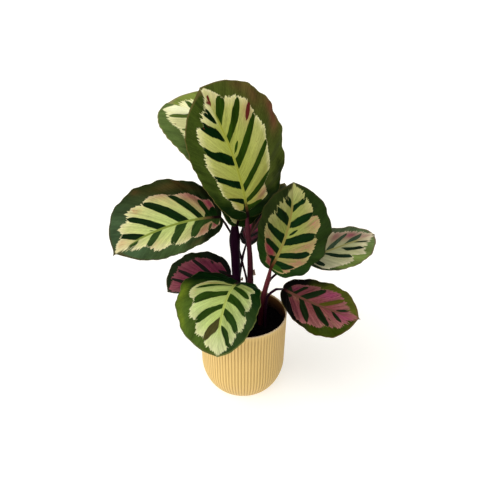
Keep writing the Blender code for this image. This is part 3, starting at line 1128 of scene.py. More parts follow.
@dataclass
class Pot:
    """The ribbed pot, in millimetres: a wall that rounds into a small flat base."""

    rim_radius: float = 70
    wall_radius: float = 68
    base_radius: float = 38
    height: float = 138
    straight_steps: int = 10
    round_height: float = 50
    round_power: float = 1.15
    round_steps: int = 16
    wall: float = 2.2
    floor: float = 3.0
    lip: float = 0.7
    lip_steps: int = 4
    ribs: int = 84
    rib_steps: int = 10
    rib_depth: float = 0.9
    rib_top: float = 135
    rib_bottom: float = 5
    rib_fade: float = 3
    rib_power: float = 0.8
    inner_share: float = 0.6  # of the wall's thickness, from where a point counts as the inside
    underside: float = 0.1
    rim_highlight: tuple[float, float] = (1.2, 0.4)  # below the rim, where the rim's painted highlight and the inner wall's painted shades each start and where each is full
    inside_shade: tuple[float, float] = (0.5, 2.5)
    deep_shade: tuple[float, float] = (4, 17)
    sharp: float = 60

    def outline(self, inset: float) -> list[Vector]:
        """Lay the wall's radius and height points from below the lip to the base.

        Args:
            inset: How far the line is moved into the wall.

        Returns:
            The points.
        """
        top, waist = Vector((self.rim_radius, self.rib_top)), Vector((self.wall_radius, self.round_height))
        points = [Vector((self.rim_radius, self.height - self.lip)), top]
        points += [top.lerp(waist, step / self.straight_steps) for step in range(1, self.straight_steps)]
        for step in range(self.round_steps + 1):
            angle = math.radians(90 * step / self.round_steps)
            across = max(math.cos(angle), 0) ** self.round_power
            down = math.sin(angle) ** self.round_power
            radius = self.base_radius + (self.wall_radius - self.base_radius) * across
            points.append(Vector((radius, self.round_height * (1 - down))))
        moved = []
        for index, point in enumerate(points):
            before = points[max(index - 1, 0)]
            after = points[min(index + 1, len(points) - 1)]
            way = (after - before).normalized()
            moved.append(point + Vector((way.y, -way.x)) * inset)
        return moved

    def section(self) -> list[Vector]:
        """Lay the whole wall's section, from the middle of its underside, over the lip, to its floor.

        Returns:
            The radius and height points.
        """
        outside = self.outline(0)
        inside = [point for point in self.outline(self.wall) if point.y > self.floor]
        lip = []
        for step in range(self.lip_steps + 1):
            angle = math.radians(90 * step / self.lip_steps)
            lip.append(Vector((self.lip * (1 - math.cos(angle)), self.lip * (math.sin(angle) - 1))))
        outer_lip = [Vector((self.rim_radius - part.x, self.height + part.y)) for part in lip]
        inner_edge = self.rim_radius - self.wall
        inner_lip = [Vector((inner_edge + part.x, self.height + part.y)) for part in reversed(lip)]
        return ([Vector((0, 0))] + list(reversed(outside[1:])) + outer_lip + inner_lip + inside[1:]
                + [Vector((inside[-1].x - self.wall, self.floor)), Vector((0, self.floor))])

    def groove(self, point: Vector) -> float:
        """Say how far down in a groove a point of the outer wall is, from 0 to 1.

        Args:
            point: The point, in metres.

        Returns:
            The share.
        """
        angle = math.atan2(point.y, point.x)
        between = 1 - abs(math.cos(angle * self.ribs / 2)) ** self.rib_power
        height = point.z / MM
        top = ease(height, self.rib_top + 1, self.rib_top + 1 - self.rib_fade)
        return between * top * ease(height, self.rib_bottom, self.rib_bottom + self.rib_fade)

    def outer_radius(self, height: float) -> float:
        """Give the outer wall's radius at a height, or 0 off the wall.

        Args:
            height: The height in millimetres.

        Returns:
            The radius in millimetres.
        """
        points = self.outline(0)
        for above, below in zip(points, points[1:]):
            if below.y <= height <= above.y and above.y > below.y:
                return below.x + (above.x - below.x) * (height - below.y) / (above.y - below.y)
        return 0.0

    def build(self) -> bpy.types.Object:
        """Spin the wall and press its grooves in.

        Returns:
            The pot.
        """
        shape = spun(self.section(), self.ribs * self.rib_steps)
        wall = shape.verts.layers.float_vector.new("wall")
        inner = self.wall * self.inner_share
        for vertex in shape.verts:
            height = vertex.co.z / MM
            radius = vertex.co.xy.length / MM
            outer = self.outer_radius(height)
            depth = self.groove(vertex.co) if outer and radius > outer - inner else 0.0
            within = ease(radius, outer - inner, outer - self.wall) if outer else 1.0
            # shares of the rim's painted highlight and of the painted shade down the inner wall, which deepens
            # farther down
            rim, inside, deep_shade_share = (ease(self.height - height, *shade)
                                   for shade in (self.rim_highlight, self.inside_shade, self.deep_shade))
            shaded = within * (inside + deep_shade_share) if height > self.underside else 0.0
            vertex[wall] = Vector((depth, rim, shaded))
            if depth > 0:
                vertex.co.xy *= (radius - self.rib_depth * depth) / radius
        pot = add_piece("ribbed_pot", shape, [PotFinish().material()])
        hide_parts("pot")
        settle(pot, self.sharp)
        return pot


@dataclass
class Soil:
    """The potting soil, in millimetres: a lumpy top with crumbs on it."""

    level: float = 118
    radius: float = 65.2
    lump: float = 1.6
    swells: tuple[float, float] = (0.21, 0.17)  # how often the slow lumps come, in x and y
    ripples: tuple[float, float] = (0.43, 0.38)  # and the quick ones
    grit: float = 1.3
    grit_often: float = 0.22
    grit_layers: tuple[float, float, int] = (0.8, 2.1, 4)  # each layer's roughness and fineness, and how many
    shoulder: float = 12
    rings: int = 44
    steps: int = 132
    crumbs: int = 900
    crumb_sizes: tuple[float, float] = (0.7, 2.4)
    crumb_squash: tuple[tuple[float, float], ...] = ((0.7, 1.4), (0.7, 1.2), (0.5, 0.9))
    crumb_margin: float = 3
    crumb_roughness: float = 0.2
    crumb_rise: float = 0.15  # of its size, above the ground
    small_share: float = 0.8
    big_crumb: float = 1.6  # times as large as a small one
    seed: int = 11

    def height(self, x: float, y: float) -> float:
        """Give the surface's height above its level.

        Args:
            x: The place in millimetres.
            y: The place in millimetres.

        Returns:
            The height in millimetres.
        """
        slow = math.sin(x * self.swells[0] + 1) * math.sin(y * self.swells[1])
        quick = math.sin(x * self.ripples[0] + y * self.ripples[1]) / 2
        fine = noise.fractal(Vector((x, y, 3.0)) * self.grit_often, *self.grit_layers)
        return self.lump * (slow + quick) + self.grit * fine

    def build(self) -> list[bpy.types.Object]:
        """Build the ground and its crumbs.

        Returns:
            The two pieces.
        """
        finish = SoilFinish().material()
        line = [(self.radius * ring / self.rings, self.level) for ring in range(self.rings + 1)]
        line += [(self.radius, self.level - self.shoulder), (0, self.level - self.shoulder)]
        shape = spun(line, self.steps)
        for vertex in shape.verts:
            if vertex.co.z > (self.level - 1) * MM:
                vertex.co.z += self.height(vertex.co.x / MM, vertex.co.y / MM) * MM
        ground = add_piece("soil_ground", shape, [finish])
        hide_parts("soil")
        return [ground, self.build_crumbs(finish)]

    def build_crumbs(self, finish: bpy.types.Material) -> bpy.types.Object:
        """Scatter crumbs over the ground.

        Args:
            finish: The soil's material.

        Returns:
            All the crumbs as one piece.
        """
        chance = random.Random(self.seed)
        shape = bmesh.new()
        for _ in range(self.crumbs):
            reach = (self.radius - self.crumb_margin) * math.sqrt(chance.random())
            angle = chance.uniform(0, 2 * math.pi)
            x, y = reach * math.cos(angle), reach * math.sin(angle)
            size = chance.uniform(*self.crumb_sizes)
            if chance.random() >= self.small_share:
                size *= self.big_crumb
            place = Vector((x, y, self.level + self.height(x, y) + size * self.crumb_rise)) * MM
            spin = Matrix.Rotation(chance.uniform(0, 6.28), 4, Vector((chance.random(), chance.random(), 1)))
            squash = Matrix.Diagonal([*(chance.uniform(*span) for span in self.crumb_squash), 1])
            made = bmesh.ops.create_icosphere(shape, subdivisions=1, radius=size * MM,
                                              matrix=Matrix.Translation(place) @ spin @ squash)
            for vertex in made["verts"]:
                push = Vector([chance.uniform(-1, 1) for _ in range(3)])
                vertex.co += push * size * self.crumb_roughness * MM
        return add_piece("soil_crumbs", shape, [finish])


@dataclass
class SheathScraps:
    """Dry curled scraps of old sheath between the stalks, in millimetres and degrees."""

    places: tuple[tuple[float, float, float, float], ...] = ((-2.5, 8, 195, 20), (17.5, 2, 210, 200))
    length: float = 9
    width: float = 6
    thickness: float = 0.35
    curl: float = 150
    lean: float = 25
    narrowing: float = 0.35
    fringe: float = 0.6
    segments: int = 14
    sharp: float = 50

    def build(self) -> list[bpy.types.Object]:
        """Build each scrap.

        Returns:
            The pieces.
        """
        finish = SheathFinish().material()
        pieces = []
        for number, (x, y, z, heading) in enumerate(self.places, 1):
            shape = bmesh.new()
            bmesh.ops.create_grid(shape, x_segments=self.segments, y_segments=self.segments, size=1)
            for vertex in shape.verts:
                share, across = (vertex.co.x + 1) / 2, vertex.co.y
                angle = math.radians(self.curl) * across * (1 + share) / 2
                radius = self.width / 3 * (1 - self.narrowing * share)
                fringe = self.fringe * math.sin(9 * across + number) * share
                vertex.co = Vector((radius * math.sin(angle), radius * math.cos(angle) - radius,
                                    self.length * (share - 0.5) + fringe)) * MM
            lean = Matrix.Rotation(math.radians(self.lean), 4, "X")
            turn = Matrix.Rotation(math.radians(heading), 4, "Z") @ lean
            place = Matrix.Translation(Vector((x, y, z)) * MM) @ turn
            bmesh.ops.transform(shape, matrix=place, verts=shape.verts)
            piece = add_piece(f"dry_sheath_{number}", shape, [finish])
            wall = piece.modifiers.new("thickness", "SOLIDIFY")
            wall.thickness = self.thickness * MM
            settle(piece, self.sharp)
            pieces.append(piece)
        return pieces


@dataclass
class Studio:
    """The camera, the soft light and the pale floor, in metres and degrees."""

    eye: tuple[float, float, float] = (-0.005, -0.800, 0.688)
    pitch: float = 62.3  # up from straight down
    lens: float = 45.0
    sensor: float = 36.0
    floor_reach: float = 9.0
    lamp_height: float = 2.0
    air: float = 0.08
    key_power: float = 3.85
    key_spread: float = 90.0  # wide, so its shadows are soft
    key_way: tuple[float, float, float] = (0.64, 0.64, -0.85)
    top_power: float = 0.3
    top_spread: float = 100.0
    top_way: tuple[float, float, float] = (0.0, 0.0, -1.0)

    def add_camera(self) -> None:
        """Set up the view."""
        data = bpy.data.cameras.new("camera")
        data.lens = self.lens
        data.sensor_width = self.sensor
        camera = bpy.data.objects.new("camera", data)
        camera.location = self.eye
        camera.rotation_euler = (math.radians(self.pitch), 0, 0)
        bpy.context.scene.collection.objects.link(camera)
        bpy.context.scene.camera = camera

    def add_air(self) -> None:
        """Light the scene faintly from all sides and set how its colours are shown."""
        world = bpy.data.worlds.new("studio_air")
        world.use_nodes = True
        air = world.node_tree.nodes["Background"]
        air.inputs["Color"].default_value = (1, 1, 1, 1)
        air.inputs["Strength"].default_value = self.air
        bpy.context.scene.world = world
        bpy.context.scene.view_settings.view_transform = "Standard"

    def add_lamp(self, name: str, way: tuple[float, float, float], spread: float, power: float) -> None:
        """Add a wide soft light that is even all over the floor.

        Args:
            name: The light's name.
            way: The way that it shines.
            spread: Its width in the sky, in degrees.
            power: Its power in watts for each square metre.
        """
        lamp = bpy.data.lights.new(name, "SUN")
        lamp.angle = math.radians(spread)
        lamp.energy = power
        held = bpy.data.objects.new(name, lamp)
        held.location = (0, 0, self.lamp_height)
        held.rotation_euler = Vector(way).to_track_quat("-Z", "Y").to_euler()
        bpy.context.scene.collection.objects.link(held)

    def add_floor(self) -> None:
        """Lay the floor."""
        shape = bmesh.new()
        bmesh.ops.create_grid(shape, x_segments=2, y_segments=2, size=self.floor_reach)
        mesh = bpy.data.meshes.new("studio_floor")
        shape.to_mesh(mesh)
        shape.free()
        mesh.materials.append(FloorFinish().material())
        floor = bpy.data.objects.new("studio_floor", mesh)
        bpy.context.scene.collection.objects.link(floor)

    def build(self) -> None:
        """Set up the camera, the light and the floor."""
        self.add_camera()
        self.add_air()
        self.add_lamp("key_light", self.key_way, self.key_spread, self.key_power)
        self.add_lamp("top_light", self.top_way, self.top_spread, self.top_power)
        self.add_floor()


DARK_STALK = StalkFinish(
    "stalk_dark", low=tone(20, 3, 14), high=tone(34, 8, 22), low_height=120, high_height=240,
)

HIDDEN_BARS = (
    Bar((5, 42, 47), (35, 38, 42), (60, 34, 37)),
    Bar((3, 55, 60), (35, 51, 55), (66, 49, 53)),
    Bar((4, 68, 72), (35, 64, 69), (69, 63, 67)),
)

LEAVES = [
    Leaf(
        node="leaf_top", base=(7, 4, 304), heading=132, rise=79, roll=-6, length=200, widths=(62, 91),
        droop=11, sweep=22, twist=-13, fold=(3, 3), taper=(1.05, 0.2), shoulder=-0.09, ruffle=(0.8, 1.6),
        waves=8, stout=1.18,
        stalk=StalkFinish(
            "stalk_top", low=tone(32, 6, 15), high=tone(63, 26, 33), low_height=150, high_height=290,
        ),
        route=[
            (12.5, 3, 118, 4.6), (12, 3, 150, 4.5), (11.2, 3, 190, 4.2), (10.8, 3, 220, 3.8),
            (10, 3, 240, 3.5), (8.4, 3, 261, 3.2), (6.2, 3.3, 282, 2.9),
        ],
        markings=(
            Markings(
                edge=(
                    (20, -30), (25, 25), (28, 45), (35, 47), (38, 58), (44, 62), (50, 61), (55, 69),
                    (60, 71), (65, 67), (69, 76), (75, 77), (78, 70), (82, 73), (87, 66), (91, 62),
                    (95, 56), (98.5, 45), (99.7, -40),
                ),
                bars=(
                    Bar((0, 20, 45), (6, 20, 39), (10, 20, 32), (20, 20, 27), (30, 20, 26.2)),
                    Bar((3, 39, 45.5), (8, 38, 44.5), (23, 37.3, 42), (42, 36.4, 39), (56, 35.6, 37)),
                    Bar((2, 55.5, 60.5), (6, 54, 60), (19, 51.8, 57.3), (38, 50, 54.5), (62, 49, 52.3)),
                    Bar((3, 70.5, 75), (15, 67.7, 73.6), (35, 65, 71), (50, 63.6, 68), (69, 64, 67.7)),
                    Bar((19, 79, 82.5), (31, 78, 82.7), (50, 76, 81), (69, 75.5, 80)),
                    Bar((31, 85, 88), (46, 84, 88.6), (65, 83.6, 88)),
                ),
                blots=(
                    Bar((0, 94, 96.2), (20, 93.5, 96), (42, 92.2, 94), (55, 91.2, 92)),
                    Bar((62, 77.2, 77.8), (70, 76.8, 77.4)),
                    Bar((52, 80, 80.3), (60, 80, 80.3)),
                ),
                blushes=(Patch(30, 35, 5, 20, 0.3), Patch(97, 60, 4, 30, 0.3)),
                bronzes=(Patch(99, 90, 3, 30, 0.4),),
            ),
            Markings(
                edge=(
                    (24, -30), (28, 52), (32, 54), (37, 48), (40, 46), (43, 58), (52, 63), (56, 66),
                    (60, 72), (66, 72), (69, 72), (74, 78), (80, 78), (83, 74), (88, 66), (92, 71),
                    (95.5, 76), (98, 70), (99.9, -40),
                ),
                bars=(
                    Bar((0, 20, 39), (8, 20, 35), (13, 20, 33.5), (30, 20, 31), (42, 20, 29)),
                    Bar((3, 40, 45), (15, 38.6, 44.5), (35, 39, 44.5), (50, 40, 44.3), (60, 40.5, 44)),
                    Bar((2, 51.5, 58), (12, 52.3, 58), (35, 53.6, 58), (54, 54.5, 58.1), (67, 55.6, 57.6)),
                    Bar((2, 68, 73.5), (12, 67.7, 72.7), (35, 67.5, 72.2), (54, 68, 71.6),
                        (72, 68.7, 70.4)),
                    Bar((5, 75.2, 75.8), (14, 74.5, 76.5), (23, 75.2, 75.8)),
                    Bar((2, 80.5, 83.5), (12, 80, 83), (35, 78.6, 82.3), (54, 78, 82), (72, 78.6, 81)),
                    Bar((0, 87.3, 91.4), (15, 87.3, 91.4), (35, 86.8, 91.4), (54, 86.4, 91),
                        (60, 86.6, 90.5)),
                ),
                blots=(
                    Bar((57, 72.7, 74.2), (66, 72.2, 75), (77, 72.8, 74.5)),
                    Bar((0, 94.5, 95.8), (20, 94.2, 96.5), (34, 94.8, 96.2)),
                    Bar((47, 63.2, 63.8), (53, 63.2, 63.8)),
                ),
                blushes=(Patch(34, 42, 5, 16, 0.9), Patch(74, 66, 4, 14, 0.5), Patch(90, 60, 10, 15, 0.15)),
                rusts=(Patch(74, 70, 3, 12, 0.3),),
                bronzes=(
                    Patch(61, 97, 5, 9, 1), Patch(56, 90, 3, 10, 0.5), Patch(72, 90, 4, 12, 0.5),
                    Patch(80, 95, 5, 10, 0.4),
                ),
            ),
        ),
        finish=LeafFinish(
            "leaf_top_face", near=tone(152, 158, 71), far=tone(172, 174, 97), edge=tone(219, 214, 160),
            tip=tone(161, 159, 91), foot=tone(148, 148, 68), left=tone(54, 68, 20), right=tone(66, 76, 27),
            base=tone(12, 31, 4), base_shade_reach=0.34, left_bar=tone(4, 27, 4), right_bar=tone(33, 55, 5),
            blush=tone(165, 124, 92), bronze=tone(104, 62, 44), midrib_foot=tone(70, 46, 22),
            foot_reach=0.4, grain=1.4,
        ),
    ),
    Leaf(
        node="leaf_back", base=(-10, 20, 283), heading=39, rise=66, roll=85, length=247, widths=(86, 92),
        droop=77, sweep=62, twist=-9, fold=(19, -4), taper=(-0.2, 1.14), shoulder=-0.27, ruffle=(0.8, 0.8),
        waves=8, stout=1.15,
        stalk=StalkFinish(
            "stalk_back", low=tone(52, 9, 26), high=tone(24, 3, 19), low_height=145, high_height=190,
        ),
        route=[
            (-12, 10, 118, 6), (-11.5, 11, 149, 6), (-10.5, 13, 188, 6), (-11.3, 15, 211, 6.2),
            (-12, 17, 232, 6.4), (-13.2, 19, 254, 7), (-13, 19.6, 269, 5.6),
        ],
        markings=(
            Markings(
                edge=(
                    (5, -30), (12, 40), (30, 60), (50, 72), (63, 78), (74, 76), (80, 82), (90, 80),
                    (96, 70), (99, -40),
                ),
                bars=HIDDEN_BARS + (
                    Bar((5, 77.5, 81.5), (30, 76, 80), (72, 73.6, 75)),
                    Bar((5, 88, 93), (43, 86, 89), (70, 85, 88), (76, 85.5, 87)),
                ),
                blots=(Bar((74, 78.2, 79), (80, 78.2, 79)),),
            ),
            Markings(
                edge=((18, -30), (25, 30), (30, 55), (60, 70), (80, 70), (93, 60), (98.5, -40)),
                bars=HIDDEN_BARS + (
                    Bar((4, 79, 83), (35, 77, 81), (74, 77, 79)),
                    Bar((4, 88, 92), (35, 87, 91), (70, 87, 89)),
                ),
            ),
        ),
        finish=LeafFinish(
            "leaf_back_face", near=tone(194, 194, 130), far=tone(202, 201, 139), edge=tone(229, 225, 167),
            tip=tone(252, 252, 206), foot=tone(190, 190, 125), left=tone(84, 102, 50),
            right=tone(120, 133, 59), base=tone(26, 49, 13), rim=tone(132, 126, 81),
            left_bar=tone(78, 96, 40), right_bar=tone(60, 84, 30), midrib=tone(173, 180, 101),
        ),
    ),
    Leaf(
        node="leaf_left", base=(-33, 13, 300), heading=197, rise=7, roll=-33, length=168, widths=(48, 77),
        droop=23, sweep=27, twist=-1, fold=(7, 12), taper=(1.4, 0.37), shoulder=-0.03, ruffle=(1, 1),
        waves=7, drip=4.5, stalk=DARK_STALK,
        route=[
            (4, 15, 118, 1.9), (5.5, 15, 149, 1.9), (6, 16, 183, 1.8), (-0.3, 24, 211, 1.7),
            (-8, 29, 240, 1.6), (-19, 28, 265, 1.6), (-27, 20, 285, 1.6),
        ],
        markings=(
            Markings(
                edge=(
                    (11, -30), (15, 42), (22, 57), (28, 57), (31, 52), (34, 62), (38, 65), (44, 65),
                    (46, 61), (50, 70), (57, 71), (60, 66), (64, 73), (69, 77), (74, 70), (77, 67),
                    (80, 69), (83, 75), (88, 67), (92, 68), (96, 60), (99, 40), (100, -40),
                ),
                bars=(
                    Bar((0, 10, 36), (12, 10, 34.5), (20, 10, 32)),
                    Bar((28, 30.6, 34.5), (40, 30.6, 34), (54, 30.8, 33.5)),
                    Bar((0, 30, 57), (10, 30, 56), (16, 35, 55), (22, 40, 54.5), (29, 42.5, 53),
                        (54, 43, 49), (62, 44, 47)),
                    Bar((2, 63, 71), (10, 62, 70), (29, 59.3, 66.5), (54, 57.8, 63.5), (65, 57.5, 61)),
                    Bar((2, 79, 84), (10, 78, 83), (29, 75.7, 81), (55, 74, 78.5), (65, 74, 77.5)),
                    Bar((8, 90, 93), (21, 88.6, 93), (46, 85.7, 91), (68, 85, 89.5)),
                ),
                blushes=(Patch(24, 40, 8, 25, 0.95), Patch(37, 60, 6, 14, 0.5), Patch(40, 40, 4, 16, 0.35)),
                rusts=(
                    Patch(72, 62, 3, 14, 0.45), Patch(92, 10, 2, 8, 0.6), Patch(40, 45, 6, 25, 0.35),
                    Patch(96, 35, 3, 30, 0.3),
                ),
                bronzes=(Patch(40, 85, 5, 10, 0.2),),
            ),
            Markings(
                edge=(
                    (18, -30), (21.5, 40), (30, 48), (34, 47), (38, 58), (45, 60), (50, 60), (55, 68),
                    (60, 72), (63, 72), (65, 70), (70, 75), (75, 78), (77, 70), (82, 79), (85, 75),
                    (87, 68), (90, 75), (95, 78), (98, 60), (99.5, -40),
                ),
                bars=(
                    Bar((0, 15, 36), (12, 15, 35), (22, 15, 32)),
                    Bar((0, 31, 47.5), (6, 32, 45), (10, 33, 42), (30, 34.2, 40.5), (42, 34.5, 39)),
                    Bar((2, 47.5, 54), (20, 47.5, 54), (40, 48, 54), (60, 50, 53.5)),
                    Bar((2, 62, 69.5), (15, 61.5, 69), (40, 61.5, 68), (65, 63, 67)),
                    Bar((2, 76.5, 81.5), (15, 76, 81), (40, 75.5, 79.5), (65, 75.2, 78.5)),
                    Bar((7, 82.6, 83.4), (13, 82.6, 83.4)),
                    Bar((3, 87, 91.2), (15, 86.5, 91), (40, 86, 90), (65, 86.2, 89)),
                ),
                blushes=(Patch(28, 38, 9, 28, 1), Patch(42, 56, 8, 14, 0.7), Patch(55, 68, 8, 9, 0.5)),
                rusts=(
                    Patch(71.4, 68, 2, 7, 1), Patch(92, 55, 3, 20, 0.6), Patch(57, 50, 5, 30, 0.3),
                    Patch(44, 30, 5, 25, 0.3),
                ),
                bronzes=(Patch(60, 93, 2, 5, 0.35), Patch(40, 93, 2, 6, 0.35), Patch(45, 80, 12, 10, 0.25)),
            ),
        ),
        finish=LeafFinish(
            "leaf_left_face", near=tone(168, 181, 106), far=tone(181, 184, 118), edge=tone(207, 198, 152),
            tip=tone(188, 175, 122), foot=tone(138, 124, 84), left=tone(54, 71, 36), right=tone(36, 46, 16),
            base=tone(16, 26, 8), rim=tone(62, 60, 34), left_bar=tone(38, 58, 20), right_bar=tone(9, 31, 4),
            blush=tone(128, 54, 66), bronze=tone(96, 60, 30), midrib=tone(120, 136, 56),
            # this leaf's margins take the bluish painted sheen near the tip
            midrib_foot=tone(84, 66, 38), foot_reach=0.5, grain=1.5, painted_sheen_share=0.8,
        ),
    ),
    Leaf(
        node="leaf_low_left", base=(-19, 18, 195), heading=187, rise=-6, roll=-55, length=114,
        widths=(37, 48), droop=37, sweep=10, twist=-4, fold=(-59, 9), taper=(0.57, 0.5), shoulder=0.03,
        ruffle=(0.8, 1), waves=6, slot=Slot.YOUNG_LEAF, stalk=DARK_STALK,
        route=[(-23, 21, 118, 2.2), (-21, 22, 140, 2.1), (-17, 23, 165, 2), (-15, 21.5, 185, 1.9)],
        markings=2 * (
            Markings(
                edge=(
                    (22, -30), (27, 50), (34, 55), (42, 74), (50, 79), (54, 76), (60, 82), (71, 80),
                    (75, 83), (84, 78), (90, 73), (95, 60), (98, -40),
                ),
                bars=(
                    Bar((0, 15, 42), (18, 15, 41), (25, 36.5, 41), (60, 37, 40.5)),
                    Bar((5, 53, 58), (40, 51.5, 57), (76, 52, 55)),
                    Bar((5, 70, 76), (40, 69, 74), (79, 70, 72)),
                    Bar((10, 80, 84), (50, 80, 83.5), (78, 80.5, 82.5)),
                ),
            ),
        ),
        finish=LeafFinish(
            "leaf_low_left_face", near=tone(95, 33, 52), far=tone(98, 43, 55), edge=tone(118, 65, 70),
            tip=tone(98, 45, 56), foot=tone(82, 28, 46), left=tone(18, 29, 8), right=tone(18, 29, 8),
            base=tone(6, 7, 4), rim=tone(50, 48, 30), left_bar=tone(19, 17, 12), right_bar=tone(19, 17, 12),
            bronze=tone(60, 40, 30), midrib=tone(81, 36, 45), grain=2,
        ),
    ),
    Leaf(
        node="leaf_front", base=(-6, -7, 198), heading=248, rise=23, roll=1, length=154, widths=(51, 69),
        droop=74, sweep=21, twist=-8, fold=(9, 18), taper=(0.1, 0.55), shoulder=0, ruffle=(1, 1.2), waves=7,
        stalk=DARK_STALK,
        route=[(-1, -13, 118, 2.6), (-0.5, -10, 140, 2.5), (0, -5, 165, 2.3), (-1.5, -3, 185, 2.1)],
        markings=(
            Markings(
                edge=(
                    (30, -30), (34.5, 60), (46, 63), (50, 73), (60, 73), (62, 68), (66, 80), (74, 80),
                    (77, 76), (80, 82), (84, 81), (87, 82), (92, 82), (96, 78), (98.5, 62), (99.9, -40),
                ),
                bars=(
                    Bar((0, 20, 46), (12, 20, 45), (18, 20, 34)),
                    Bar((3, 48, 56), (14, 47, 55), (32, 45.5, 54), (50, 46.5, 53), (60, 48.5, 51.5)),
                    Bar((3, 64, 73), (7, 63, 72), (18, 61.4, 70), (43, 59.6, 66.4), (68, 60.7, 65.7)),
                    Bar((2, 78.5, 83), (7, 77.5, 82), (29, 74.6, 80.7), (50, 73, 79), (68, 74.3, 79),
                        (74, 75.5, 78)),
                    Bar((18, 86.2, 88.8), (29, 85, 89), (50, 83.6, 88.6), (71, 85, 89.3)),
                ),
            ),
            Markings(
                edge=(
                    (40, -30), (44, 50), (47, 60), (50, 75), (58, 75), (61, 68), (65, 77), (71, 77),
                    (73.5, 70), (78, 82), (81, 80), (84, 74), (87, 82), (92, 83), (96, 80), (98.5, 65),
                    (99.9, -40),
                ),
                bars=(
                    Bar((0, 20, 45), (14, 20, 45), (24, 20, 43)),
                    Bar((3, 48.7, 50.2), (20, 48.7, 51.3), (40, 48.9, 52.1), (60, 50, 52.3),
                        (70, 50.8, 51.5)),
                    Bar((2, 61, 67), (14, 60.7, 66.4), (29, 60, 65.7), (50, 57.5, 64.6), (68, 60, 63.6)),
                    Bar((3, 75, 78.5), (10, 74.6, 78), (29, 73, 77), (50, 71.4, 76.4), (68, 72, 75.7)),
                ),
                rusts=(Patch(47.5, 40, 2, 30, 0.7), Patch(54, 70, 6, 10, 0.25)),
                bronzes=(Patch(53, 93, 7, 9, 0.8), Patch(67, 97, 5, 6, 0.9)),
                shoots=(
                    Bar((3, 83.5, 89), (10, 83.2, 88.6), (29, 82.5, 88.2), (50, 82, 87), (68, 82.5, 86)),
                ),
            ),
        ),
        finish=LeafFinish(
            "leaf_front_face", near=tone(160, 176, 98), far=tone(164, 178, 110), edge=tone(190, 190, 142),
            tip=tone(172, 182, 124), foot=tone(150, 164, 90), left=tone(34, 53, 19), right=tone(66, 86, 29),
            base=tone(8, 36, 6), base_shade_reach=0.5, rim=tone(84, 90, 44), left_bar=tone(29, 52, 9),
            right_bar=tone(37, 60, 14), bronze=tone(104, 120, 30), midrib=tone(168, 182, 91),
            shoot=tone(70, 66, 32), grain=1.5, left_light=0.85, right_light=1.22,
        ),
    ),
    Leaf(
        node="leaf_right", base=(41, -10, 223), heading=10, rise=60, roll=59, length=144, widths=(44, 63),
        droop=-14, sweep=31, twist=3, fold=(12, 10), taper=(1.05, 0.5), shoulder=-0.04, ruffle=(0.8, 2.6),
        waves=6.5, phase=100, stout=1.25, drip=0.5,
        stalk=StalkFinish(
            "stalk_right", low=tone(36, 6, 12), high=tone(82, 33, 38), low_height=150, high_height=200,
        ),
        route=[
            (28, -6, 118, 4.2), (29, -6.5, 140, 4), (30.5, -7.5, 160, 3.8), (34, -9, 184, 3.3),
            (38.5, -10, 205, 2.7),
        ],
        markings=(
            Markings(
                edge=(
                    (15, -30), (19, 38), (25, 43), (33, 45), (36, 55), (40, 63), (43, 63), (45, 68),
                    (50, 75), (54, 77), (57, 70), (60, 74), (66, 72), (70, 70), (75, 73), (80, 72),
                    (85, 68), (88, 68), (92, 68), (96, 66), (98.5, 50), (99.7, -40),
                ),
                bars=(
                    Bar((0, 10, 48), (6, 10, 46), (12, 10, 43), (16, 33.5, 41), (20, 33.8, 40.5),
                        (30, 33.8, 36), (50, 33.5, 34.5)),
                    Bar((3, 50, 57.5), (8, 49.2, 56.8), (20, 47, 54.5), (39, 44.5, 51), (55, 43.2, 48.2),
                        (60, 44, 46.5)),
                    Bar((3, 63.2, 70.8), (10, 62, 70), (29, 58.3, 65.7), (50, 55.5, 61.7), (68, 54, 59.2)),
                    Bar((3, 77.5, 82), (10, 76.5, 81.5), (29, 73.5, 80.3), (46, 70.5, 78),
                        (64, 68.5, 75.2)),
                    Bar((10, 86.8, 90), (21, 86, 89.7), (43, 83.6, 88.6), (59, 82, 87)),
                ),
                blushes=(Patch(26, 26, 11, 25, 1), Patch(44, 28, 6, 22, 1), Patch(40, 50, 6, 20, 0.7)),
                rusts=(Patch(50, 60, 6, 16, 0.5), Patch(36, 55, 4, 12, 0.4)),
            ),
            Markings(
                edge=(
                    (12, -30), (15, 50), (18, 62), (24, 62), (29, 58), (33, 64), (37, 73), (44, 71),
                    (50, 74), (57, 73), (60, 68), (63, 77), (70, 78), (73, 70), (77, 74), (82, 76),
                    (84.5, 74), (87, 80), (90, 84), (94, 80), (98.5, 60), (99.7, -40),
                ),
                bars=(
                    Bar((0, 33, 42), (14, 30, 40), (28, 27, 37.5), (36, 24.7, 36), (43, 26.2, 35.5),
                        (50, 28.5, 34.5), (58, 31.8, 33.5)),
                    Bar((3, 47, 53.5), (14, 46, 53), (43, 43.7, 50), (60, 43.6, 49.3), (66, 44.5, 48)),
                    Bar((3, 62.5, 68.8), (10, 61.5, 68), (25, 59.8, 67), (43, 58.4, 65.6),
                        (64, 57.7, 62.2), (72, 59, 60.2)),
                    Bar((10, 70.2, 71.3), (20, 69.4, 72), (29, 70.2, 71.2)),
                    Bar((3, 77, 80.6), (10, 76, 80), (25, 73.8, 79.7), (43, 72.8, 78.3), (60, 72.3, 76.5),
                        (70, 73.5, 75)),
                    Bar((6, 86, 89.5), (14, 85.4, 89), (43, 84.3, 87), (64, 82.5, 85.7), (72, 83, 85)),
                ),
                blots=(Bar((53, 68, 68.5), (57, 68, 68.5)),),
                rusts=(
                    Patch(23, 48, 8, 20, 1), Patch(37, 58, 7, 22, 0.95), Patch(53, 55, 5, 35, 0.8),
                    Patch(68, 70, 7, 14, 0.9),
                ),
                shoots=(
                    Bar((0, 14.5, 34), (14, 15.5, 31), (28, 16.5, 28), (36, 17, 25), (50, 18, 22.2),
                        (58, 19, 20)),
                ),
            ),
